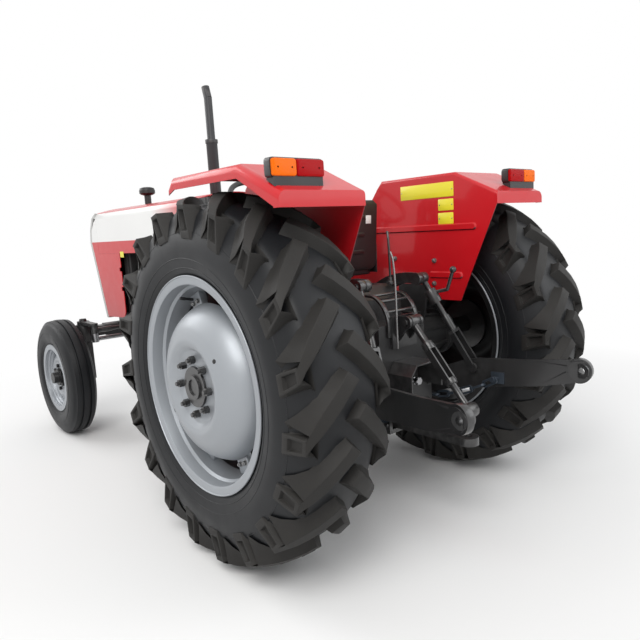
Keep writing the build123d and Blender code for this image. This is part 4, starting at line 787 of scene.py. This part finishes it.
def rearWheelForms():
    w = rearWheel
    outer, inner = list(w["outer"]), list(w["inner"])
    rim = outer + [(-y, r) for y, r in reversed(outer)] + [(-y, r) for y, r in inner] + inner[::-1]
    face = smoothPath(w["crest"], 6) + smoothPath(w["dome"], 4)[1:] + smoothPath(w["under"], 5)
    disc = [*w["pilot"], *(tuple(p) for p in face), *w["back"]]
    forms = [spun(outline, rearHub, "rearWheelPaintAndShade", w["steps"]) for outline in (rim, disc)]
    for index in range(w["lugs"]):
        turn = w["lugTurn"] - index * 360 / w["lugs"]
        out, along = wheelTurn(turn), wheelTurn(turn + 90)
        rows = [[rearHub + out * r + Vector((0, y, 0)) + along * side for y, r in w["lug"]]
                for side in (-w["lugHalf"], w["lugHalf"])]
        forms.append(grid(rows, "rearWheelPaintAndShade", closeColumns=True, caps=True))
        for side in w["boltSides"]:
            place = rearHub + out * w["boltRadius"] + Vector((0, w["boltFace"], 0)) + along * side
            forms += boltHead(place, (0, 1, 0), 0.016)
    # The holes are matte black discs on the disc's face: painted shade in place of openings
    for turn in w["holeTurns"]:
        out = wheelTurn(turn)
        forms.append(turned(rearHub + out * w["holeCircle"] + Vector((0, w["holeFace"], 0)),
                            out * 0.35 + Vector((0, 1, 0)), [(0, w["holeRadius"]), (0.0042, w["holeRadius"])],
                            "matteBlack", 20))
    return forms


dressPair("rearWheel", rearWheelForms(), "wheel_rear", "rear_wheel", "silver", bevel=0.0015, angle=38)
stemOut = wheelTurn(rearWheel["stemTurn"]) * rearWheel["stemRadius"]
stemFoot = rearHub + stemOut + Vector((0, rearWheel["stemFoot"], 0))
stem = turned(stemFoot, (0, 1, 0.2), [(0, 0.006), (0.030, 0.005), (0.034, 0.0065), (0.052, 0.0065)],
              "mouldedBlack", 14)
dressPair("valveStem", [stem], "wheel_rear", None, "tyre", angle=40)
print("power take-off and rear wheels")

# Tail lamps: black housing with an amber outer and a red inner lens
tailLamp = dict(back=-0.460, lensFront=-0.446, front=-0.408, inner=0.537, outer=0.747, low=1.408, high=1.470,
                split=0.652, lensGap=0.0012, rim=0.004, screws=(0.2, 0.8), plinthLow=(1.381, 1.4035))


def tailLampForms():
    t = tailLamp
    low, high, back, front, rim = t["low"], t["high"], t["back"], t["front"], t["rim"]
    (plinthBack, plinthFront), top = t["plinthLow"], low + 0.006
    plinth = [(back + 0.006, plinthBack), (front - 0.006, plinthFront), (front - 0.006, top),
              (back + 0.006, top)]
    forms = [layered(rectangle(t["inner"], t["outer"], low, high, 0.012), "x",
                     [(front, 0.008), (front - 0.006, 0.0015), (front - 0.010, 0.0), (t["lensFront"], 0.0),
                      (t["lensFront"] - 0.0005, 0.0025)], "mouldedBlack"),
             layered(plinth, "y", [(t["inner"] + 0.008, 0.0), (t["outer"] - 0.008, 0.0)], "mouldedBlack")]
    for y0, y1, colour in ((t["split"] + t["lensGap"], t["outer"] - rim, "amberLens"),
                           (t["inner"] + rim, t["split"] - t["lensGap"], "redLens")):
        forms.append(layered(rectangle(y0, y1, low + rim, high - rim, 0.009, 5), "x",
                             [(t["lensFront"] + 0.002, 0.0), (back + 0.004, 0.0), (back + 0.001, 0.0015),
                              (back + 0.0002, 0.004)], colour))
        for share in t["screws"]:
            forms.append(turned(at(back + 0.0006, y0 + (y1 - y0) * share, (low + high) / 2), (-1, 0, 0),
                                [(-0.004, 0.004), (0.0, 0.0038), (0.0004, 0.003)], "boltZinc", 16))
    return forms


dress("tailLamps", bothSides(tailLampForms()), "chassis", ["tail_lamps"], "lamp", angle=35)

# Fenders: bolts, blank yellow plates on the right one
fender = dict(
    face=0.390, boltSize=0.017,
    bolts=((0.119, 1.082), (-0.135, 1.072), (-0.131, 0.963), (0.150, 0.945), (0.33, 1.06), (0.45, 0.93)),
    studs=(-0.20, -0.05, 0.10), studPlace=(0.470, 1.4698),
    plates=((-0.258, 0.064, 1.364, 1.430), (-0.256, -0.168, 1.302, 1.354), (-0.254, -0.166, 1.240, 1.292)))


def fenderForms():
    forms = []
    for x, z in fender["bolts"]:
        forms += boltHead(at(x, fender["face"], z), (0, -1, 0), fender["boltSize"])
    for x in fender["studs"]:
        forms.append(turned(at(x, *fender["studPlace"]), (0, 0, 1),
                            [(0, 0.010), (0.0012, 0.0098), (0.0034, 0.006), (0.0040, 0.0)], "redPaint", 18))
    return forms


def plateForms():
    forms = []
    face = -fender["face"]
    for x0, x1, z0, z1 in fender["plates"]:
        forms.append(layered(rectangle(x0, x1, z0, z1, 0.004), "y",
                             [(face - 0.0005, 0.0), (face + 0.0012, 0.0), (face + 0.0016, 0.0006)],
                             "yellowPlate"))
        for x in (x0 + 0.008, x1 - 0.008):
            forms.append(turned(at(x, face + 0.0012, (z0 + z1) / 2), (0, 1, 0),
                                [(0, 0.0032), (0.0012, 0.0030), (0.0018, 0.0016)], "boltZinc", 12))
    return forms


dress("fenderBolts", bothSides(fenderForms()), "chassis", (), "black", angle=35)
dress("fenderPlates", plateForms(), "chassis", (), "red", angle=35)
print("lamps and fenders")

# Steering wheel: moulded rim and three bowed spokes
steering = dict(centre=(0.640, 0.0, 1.395), tilt=38, rim=0.196, thick=0.0136, turns=(60, 180, 300),
                spokePath=((0.020, -0.006), (0.06, -0.009), (0.11, -0.009), (0.155, -0.005), (0.190, -0.001)),
                spokeHalf=(0.012, 0.0045), hubFoot=0.030,
                hub=((0, 0.030), (0.004, 0.034), (0.018, 0.037), (0.036, 0.037), (0.041, 0.034),
                     (0.0435, 0.024), (0.044, 0.0)))


def steeringForms():
    centre = Vector(at(*steering["centre"]))
    axis = wheelTurn(steering["tilt"] + 90)
    level = wheelTurn(steering["tilt"])
    forms = [ringRound(centre, axis, steering["rim"], steering["thick"], "mouldedBlack", 96, 18)]
    wide, deep = steering["spokeHalf"]
    section = [(wide * a, deep * b) for a, b in circle(1.0, 14)]
    for turn in steering["turns"]:
        out = level * cos(radians(turn)) + Vector((0, 1, 0)) * sin(radians(turn))
        path = [centre + out * r + axis * lift for r, lift in steering["spokePath"]]
        forms.append(swept(smoothPath(path, 4), section, "blackEnamel", up=axis))
    forms.append(turned(centre - axis * steering["hubFoot"], axis, steering["hub"], "mouldedBlack", 40))
    return forms


dress("steeringWheel", steeringForms(), "steering_wheel", ["steering_wheel"], "plastic", angle=45)

# Seat: two sewn cushions on a pressed shell
# Rings are height and share of size in the pan, and shares of height, width and thickness in the back
seat = dict(panLow=1.040, panTop=1.084, panBack=0.128, panFront=0.500, half=0.222, corner=0.055,
            backLow=1.078, backTop=1.360, backFoot=0.104, backLean=-0.105, backThick=0.054,
            panSeams=(-0.120, -0.040, 0.040, 0.120), backSeams=(1.150, 1.215, 1.280),
            seamHalf=0.0034, sewn=0.150,
            panRings=((0.0, 0.97), (0.012, 1.0), (0.030, 1.0), (0.040, 0.975), (0.044, 0.94)),
            backRings=((0.0, 0.86, 0.4), (0.03, 0.95, 0.78), (0.10, 1.0, 1.0), (0.5, 1.0, 1.0),
                       (0.90, 1.0, 1.0), (0.97, 0.95, 0.78), (1.0, 0.86, 0.4)),
            voxel=0.0055, pressure=4.0, frames=18, cap=0.022, quality=6)


def shaped(name, rows):
    # Closed cushion blank from rings of points
    mesh = bpy.data.meshes.new(name)
    points, faces, _ = grid(rows, None, closeColumns=True, caps=True)
    mesh.from_pydata(points, [], faces)
    tidyNormals(mesh)
    piece = bpy.data.objects.new(name, mesh)
    scene.collection.objects.link(piece)
    return piece


def applied(piece):
    # The piece's mesh with its modifiers worked in
    graph = bpy.context.evaluated_depsgraph_get()
    made = bpy.data.meshes.new_from_object(piece.evaluated_get(graph), depsgraph=graph)
    piece.modifiers.clear()
    piece.data = made


def puff(piece, held):
    # Remesh, hold the seam lines, blow the cloth up and cap how far it moves
    remesh = piece.modifiers.new("remesh", "REMESH")
    remesh.mode = "VOXEL"
    remesh.voxel_size = seat["voxel"]
    applied(piece)
    start = [v.co.copy() for v in piece.data.vertices]
    group = piece.vertex_groups.new(name="seams")
    group.add([i for i, place in enumerate(start) if held(place)], 1.0, "REPLACE")
    cloth = piece.modifiers.new("cloth", "CLOTH")
    cloth.settings.use_pressure = True
    cloth.settings.uniform_pressure_force = seat["pressure"]
    cloth.settings.effector_weights.gravity = 0
    cloth.settings.vertex_group_mass = "seams"
    cloth.settings.quality = seat["quality"]
    cloth.point_cache.frame_start = 1
    cloth.point_cache.frame_end = seat["frames"] + 2
    for step in range(1, seat["frames"] + 1):
        scene.frame_set(step)
    applied(piece)
    for vertex, place in zip(piece.data.vertices, start):
        move = vertex.co - place
        if move.length > seat["cap"]:
            vertex.co = place + move * (seat["cap"] / move.length)
    scene.frame_set(1)


def finishCushion(piece):
    piece.data.materials.clear()
    piece.data.materials.append(finishes["seatVinyl"])
    smooth = piece.modifiers.new("fine", "SUBSURF")
    smooth.levels = smooth.render_levels = 1
    piece.data.polygons.foreach_set("use_smooth", [True] * len(piece.data.polygons))
    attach(piece, "chassis")
    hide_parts("seat")


def onSeam(value, seams):
    return min(abs(value - seam) for seam in seams) < seat["seamHalf"]


def seatPan():
    outline = rectangle(seat["panBack"], seat["panFront"], -seat["half"], seat["half"], seat["corner"], 8)
    middleX = (seat["panBack"] + seat["panFront"]) / 2
    sewn = seat["sewn"]
    rows = [[at(middleX + (x - middleX) * share, y * share, seat["panLow"] + height) for x, y in outline]
            for height, share in seat["panRings"]]
    piece = shaped("seatCushion", rows)

    def held(place):
        along = abs(place.x - axleX - middleX)
        if place.z < seat["panTop"] - 0.012:
            return place.z < seat["panLow"] + 0.006
        lengthwise = along < sewn and onSeam(place.y, seat["panSeams"])
        return lengthwise or (abs(place.y) < sewn and onSeam(along, (sewn,)))

    puff(piece, held)
    finishCushion(piece)


def seatBack():
    rows = []
    for share, wide, deep in seat["backRings"]:
        z = seat["backLow"] + share * (seat["backTop"] - seat["backLow"])
        half = (seat["half"] - 0.012 * share) * wide
        thick = seat["backThick"] * deep
        x = seat["backFoot"] + seat["backLean"] * (z - seat["backLow"]) + (seat["backThick"] - thick) / 2
        rows.append([at(a, b, z) for a, b in rectangle(x, x + thick, -half, half, thick * 0.42, 6)])
    piece = shaped("seatBackCushion", rows)

    def held(place):
        depth = place.x - axleX - seat["backFoot"] - seat["backLean"] * (place.z - seat["backLow"])
        front = depth > seat["backThick"] - 0.010
        return depth < 0.006 or (front and abs(place.y) < 0.185 and onSeam(place.z, seat["backSeams"]))

    puff(piece, held)
    finishCushion(piece)


shell = dict(half=0.230, foot=0.0985, lean=-0.088, low=1.046, height=0.324, thick=0.016,
             ribs=(1.12, 1.20, 1.28),
             rings=((0.0, 0.205), (0.06, 0.232), (0.5, 0.232), (0.94, 0.232), (1.0, 0.205)),
             sticker=((-0.190, 1.262), (-0.156, 1.262), (-0.156, 1.300), (-0.190, 1.300)),
             bracket=((0.095, 1.028), (0.160, 1.028), (0.150, 1.062), (0.118, 1.165), (0.090, 1.165)),
             bolts=((0.128, 1.040), (0.106, 1.135)))


def shellBack(z):
    return shell["foot"] + shell["lean"] * (z - shell["low"])  # x of the back's rear face at a height


def seatShell():
    half = shell["half"]
    forms = [layered(rectangle(0.110, 0.507, -half, half, 0.060, 8), "z",
                     [(1.0205, 0.008), (1.024, 0.001), (1.044, 0.0), (1.047, 0.003)], "mouldedBlack")]
    rows = []
    for share, wide in shell["rings"]:
        z = shell["low"] + share * shell["height"]
        x = shellBack(z)
        rows.append([at(a, b, z) for a, b in rectangle(x, x + shell["thick"], -wide, wide, 0.007, 4)])
    forms.append(grid(rows, "mouldedBlack", closeColumns=True, caps=True))
    for z in shell["ribs"]:
        x = shellBack(z)
        forms.append(layered(rectangle(-0.150, 0.150, z, z + 0.022, 0.010), "x",
                             [(x + 0.004, 0.0), (x - 0.0015, 0.0), (x - 0.004, 0.003)], "mouldedBlack"))
    forms.append(grid([[at(shellBack(z) + depth, y, z) for y, z in shell["sticker"]]
                       for depth in (-0.0006, 0.002)],
                      "whitePaint", closeColumns=True, caps=True))
    for side in (1, -1):
        forms.append(layered(shell["bracket"], "y", [(side * 0.2335, 0.0), (side * 0.2290, 0.0)],
                             "blackEnamel"))
        for x, z in shell["bolts"]:
            forms += boltHead(at(x, side * 0.2312, z), (0, side, 0), 0.010)
    return forms


seatPan()
seatBack()
dress("seatShell", seatShell(), "chassis", ["seat"], "seat", bevel=0.0012, angle=40)
print("seat")

# Bolts on the castings: places, direction, size and finish of each row
trumpet = dict(bolts=12, circle=0.1535, face=0.204, size=0.018)
boltRows = (
    ([(-0.270, 0.152, z) for z in (0.475, 0.550, 0.630, 0.690)], (-1, 0, 0), 0.016, "castBlack"),
    ([(-0.270, y, 0.456) for y in (0.050, 0.115)], (-1, 0, 0), 0.016, "castBlack"),
    ([(0.842, 0.1725, z) for z in (0.50, 0.60, 0.70, 0.80)], (-1, 0, 0), 0.014, "castBlack"),
    ([(1.080, 0.206, z) for z in (0.50, 0.60, 0.70, 0.80)], (-1, 0, 0), 0.014, "castBlack"),
    ([(x, 0.134, 0.854) for x in (-0.12, 0.0, 0.12, 0.24)], (0, 0, 1), 0.013, "castBlack"),
    ([(x, 0.1475, 0.650) for x in (1.16, 1.27, 1.38, 1.49, 1.60, 1.71)], (0, 1, 0), 0.011, "castGrey"),
    ([(x, 0.104, 1.075) for x in (1.16, 1.27, 1.38, 1.49, 1.60, 1.71)], (0, 0, 1), 0.014, "castGrey"),
)


def castingBolts():
    forms = []
    for index in range(trumpet["bolts"]):
        out = wheelTurn(15 + index * 360 / trumpet["bolts"]) * trumpet["circle"]
        forms += boltHead((rearHub.x + out.x, trumpet["face"], rearHub.z + out.z), (0, 1, 0), trumpet["size"],
                          "castBlack")
    for places, direction, size, look in boltRows:
        for place in places:
            forms += boltHead(at(*place), direction, size, look)
    return forms


dress("castingBolts", bothSides(castingBolts()), "chassis", (), "black", angle=35)

# Rear: lift control lever, top link's stowing rod, frame with cross bars behind the lift cover
controls = dict(
    lever=((-0.118, -0.100, 0.986), (-0.118, -0.100, 1.10), (-0.112, -0.104, 1.18), (-0.100, -0.112, 1.222)),
    leverFoot=((0, 0.016), (0.012, 0.016), (0.016, 0.010), (0.03, 0.010)), leverRadius=0.0055,
    rod=((-0.300, 0.0625, 0.742), (-0.300, 0.0625, 0.98), (-0.296, 0.066, 1.10), (-0.288, 0.072, 1.142)),
    rodRadius=0.0045, frameSide=0.085,
    frame=((-0.150, 0.958), (-0.205, 0.951), (-0.252, 0.912), (-0.276, 0.855), (-0.277, 0.79)),
    bar=((-0.005, -0.011), (0.005, -0.011), (0.005, 0.011), (-0.005, 0.011)),
    rungs=((-0.178, 0.956), (-0.228, 0.935), (-0.262, 0.893)), rungRadius=0.0065)


def tube(places, steps, section, look):
    return swept(smoothPath([at(*place) for place in places], steps), section, look)


def controlForms():
    c = controls
    forms = [tube(c["lever"], 5, circle(c["leverRadius"]), "blackEnamel"),
             turned(at(-0.118, -0.100, 0.988), (0, 0, 1), c["leverFoot"], "blackEnamel", 20),
             tube(c["rod"], 5, circle(c["rodRadius"]), "boltZinc")]
    for side in (1, -1):
        forms.append(tube([(x, side * c["frameSide"], z) for x, z in c["frame"]], 6, c["bar"], "blackEnamel"))
    for x, z in c["rungs"]:
        forms.append(turned(at(x, -0.088, z), (0, 1, 0), [(0, c["rungRadius"]), (0.176, c["rungRadius"])],
                            "blackEnamel", 14))
    return forms


dress("rearControls", controlForms(), "chassis", (), "black", bevel=0.001, angle=40)

# Washer and spring ring on the lower links' front pins
hingePin = dict(x=-0.060, z=0.480, washer=0.2535, ring=0.262)
for side, name in ((1, "Left"), (-1, "Right")):
    forms = [turned(at(hingePin["x"], side * hingePin["washer"], hingePin["z"]), (0, side, 0),
                    [(0, 0.026), (0.004, 0.026)], "boltZinc", 28),
             ringRound(at(hingePin["x"], side * hingePin["ring"], hingePin["z"]), (1, 0, 0.4), 0.018, 0.0022,
                       "brightSteel", 32, 8)]
    dress("hingePin" + name, forms, "chassis", (), "bright", angle=40)
print("rear details")

# Engine: injector pipes, fan belt, hose, oil filler and dipstick
engine = dict(
    pipe=0.0034, pumpX=1.530, pumpStep=0.036, headX=1.215, headStep=0.150, beltX=1.8665, beltSteps=16,
    beltSection=((-0.007, 0.0), (0.007, 0.0), (0.005, -0.007), (-0.005, -0.007)), crank=(0.700, 0.0735),
    fanHub=(0.960, 0.0535), nut=((0, 0.012), (0.008, 0.012), (0.008, 0.008), (0.02, 0.008)),
    hose=((1.842, -0.115, 0.802), (1.870, -0.140, 0.786), (1.910, -0.165, 0.772), (1.950, -0.170, 0.768)),
    filler=((0, 0.030), (0.004, 0.031), (0.008, 0.029)),
    stick=((1.33, 0.150, 0.66), (1.33, 0.172, 0.72), (1.335, 0.176, 0.80), (1.335, 0.170, 0.835)))


def injectorPipes():
    forms = []
    for index in range(4):
        start = engine["pumpX"] + engine["pumpStep"] * index
        head = engine["headX"] + engine["headStep"] * index
        path = ((start, 0.176, 0.904), (start, 0.178, 0.935),
                ((start + head) / 2, 0.226 + 0.004 * index, 0.962),
                (head, 0.222, 1.010), (head, 0.205, 1.070), (head, 0.150, 1.098), (head, 0.108, 1.083))
        forms.append(tube(path, 6, circle(engine["pipe"], 10), "boltZinc"))
        forms.append(turned(at(head, 0.106, 1.074), (0, 0, 1), engine["nut"], "boltZinc", 6))
    return forms


def fanBelt():
    # Flat loop round the crankshaft's and the fan's pulleys
    (lowZ, lowR), (highZ, highR) = engine["crank"], engine["fanHub"]
    contact = (lowR - highR) / (highZ - lowZ)
    steps = engine["beltSteps"]
    path = []
    for first, sweep, z, radius in ((contact, pi - 2 * contact, highZ, highR),
                                    (pi - contact, pi + 2 * contact, lowZ, lowR)):
        for step in range(steps + 1):
            turn = first + sweep * step / steps
            path.append((radius * cos(turn), z + radius * sin(turn)))
    rows = []
    for index, (y, z) in enumerate(path):
        after, before = path[(index + 1) % len(path)], path[index - 1]
        along = Vector((after[0] - before[0], after[1] - before[1])).normalized()
        rows.append([at(engine["beltX"] + dx, y + out * along.y, z - out * along.x)
                     for dx, out in engine["beltSection"]])
    return grid(rows, "mouldedBlack", closeRows=True, closeColumns=True)


def engineForms():
    return injectorPipes() + [
        fanBelt(), tube(engine["hose"], 6, circle(0.019, 20), "mouldedBlack"),
        turned(at(1.26, 0.0, 1.178), (0, 0, 1), engine["filler"], "blackEnamel", 24),
        tube(engine["stick"], 5, circle(0.004, 10), "boltZinc")]


dress("engineDetails", engineForms(), "chassis", (), "black", angle=40)

# Hood: catches and a yellow tab at the skirt
hoodTrim = dict(side=0.262, tab=(1.922, 1.978, 1.138, 1.176), catches=(2.08, 2.27), catchHalf=0.012,
                catchLow=1.120, catchHigh=1.150)


def hoodForms():
    t = hoodTrim
    side, half = t["side"], t["catchHalf"]
    forms = [layered(rectangle(*t["tab"], 0.003), "y", [(side - 0.0005, 0.0), (side + 0.0004, 0.0)],
                     "yellowPlate")]
    for x in t["catches"]:
        forms.append(layered(rectangle(x - half, x + half, t["catchLow"], t["catchHigh"], 0.004), "y",
                             [(side - 0.002, 0.0), (side - 0.0006, 0.0), (side - 0.0001, 0.002)],
                             "blackEnamel"))
    return forms


dress("hoodTrim", bothSides(hoodForms()), "chassis", (), "black", angle=35)
print("engine and hood trim")

# Camera at the left rear, a little above the fender's height
view = dict(place=(-2.815, 1.843, 1.239), yaw=-0.736, pitch=-0.151, roll=-0.054, lens=33.89, shiftX=-0.047,
            shiftY=0.002)
cameraData = bpy.data.cameras.new("camera")
cameraData.lens = view["lens"]
cameraData.sensor_width = 36.0
cameraData.shift_x = view["shiftX"]
cameraData.shift_y = view["shiftY"]
camera = bpy.data.objects.new("camera", cameraData)
scene.collection.objects.link(camera)
camera.location = view["place"]
ahead = Vector((cos(view["yaw"]) * cos(view["pitch"]), sin(view["yaw"]) * cos(view["pitch"]),
                sin(view["pitch"])))
aim = ahead.to_track_quat("-Z", "Y")
camera.rotation_mode = "QUATERNION"
camera.rotation_quaternion = aim @ Matrix.Rotation(view["roll"], 3, "Z").to_quaternion()
scene.camera = camera

# Pale floor that fades into a white backdrop, and a soft studio sky
studio = dict(floorSize=60, fadeFrom=1.9, fadeTo=3.8, floorColour=(0.86, 0.86, 0.86), skyStrength=0.62)


def seenDirectly(tree):
    # What the camera sees straight, mirrored or through glass
    light = tree.nodes.new("ShaderNodeLightPath").outputs
    return mathNode(tree, "MAXIMUM", light["Is Camera Ray"],
                    mathNode(tree, "MAXIMUM", light["Is Glossy Ray"], light["Is Transmission Ray"]))


def makeFloor():
    mesh = bpy.data.meshes.new("floor")
    reach = studio["floorSize"] / 2
    mesh.from_pydata([(-reach, -reach, 0), (reach, -reach, 0), (reach, reach, 0), (-reach, reach, 0)], [],
                     [(0, 1, 2, 3)])
    material = bpy.data.materials.new("paleFloor")
    material.use_nodes = True
    tree = material.node_tree
    shader = tree.nodes["Principled BSDF"]
    shader.inputs["Base Color"].default_value = (*studio["floorColour"], 1)
    shader.inputs["Roughness"].default_value = 0.9
    shader.inputs["Specular IOR Level"].default_value = 0.0
    distance = tree.nodes.new("ShaderNodeVectorMath")
    distance.operation = "LENGTH"
    tree.links.new(objectPlace(tree), distance.inputs[0])
    far = spread(tree, distance.outputs["Value"], studio["fadeFrom"], studio["fadeTo"])
    glow = tree.nodes.new("ShaderNodeEmission")
    mix = tree.nodes.new("ShaderNodeMixShader")
    tree.links.new(product(tree, far, seenDirectly(tree)), mix.inputs[0])
    tree.links.new(shader.outputs[0], mix.inputs[1])
    tree.links.new(glow.outputs[0], mix.inputs[2])
    tree.links.new(mix.outputs[0], tree.nodes["Material Output"].inputs["Surface"])
    mesh.materials.append(material)
    floor = bpy.data.objects.new("floor", mesh)
    scene.collection.objects.link(floor)


def makeSky():
    world = bpy.data.worlds.new("studio")
    world.use_nodes = True
    tree = world.node_tree
    background = tree.nodes["Background"]
    tree.links.new(spread(tree, seenDirectly(tree), 0.0, 1.0, studio["skyStrength"], 1.0),
                   background.inputs["Strength"])
    background.inputs["Color"].default_value = (1.0, 1.0, 1.0, 1)
    scene.world = world


softLamps = {
    "keyLamp": dict(place=(-3.2, 3.4, 4.6), size=3.2, power=190, colour=(1.0, 0.99, 0.97)),
    "fillLamp": dict(place=(-4.5, -3.0, 3.2), size=3.5, power=80, colour=(0.96, 0.98, 1.0)),
    "frontLamp": dict(place=(3.8, 2.0, 3.8), size=3.0, power=90, colour=(1.0, 1.0, 1.0)),
}


def makeLamps():
    for name, lamp in softLamps.items():
        data = bpy.data.lights.new(name, "AREA")
        data.size = lamp["size"]
        data.energy = lamp["power"]
        data.color = lamp["colour"]
        piece = bpy.data.objects.new(name, data)
        scene.collection.objects.link(piece)
        piece.location = lamp["place"]
        piece.rotation_mode = "QUATERNION"
        piece.rotation_quaternion = (Vector((0, 0, 0.7)) - piece.location).to_track_quat("-Z", "Y")


makeFloor()
makeSky()
makeLamps()
scene.view_settings.view_transform = "Standard"
print("camera, floor and lamps")
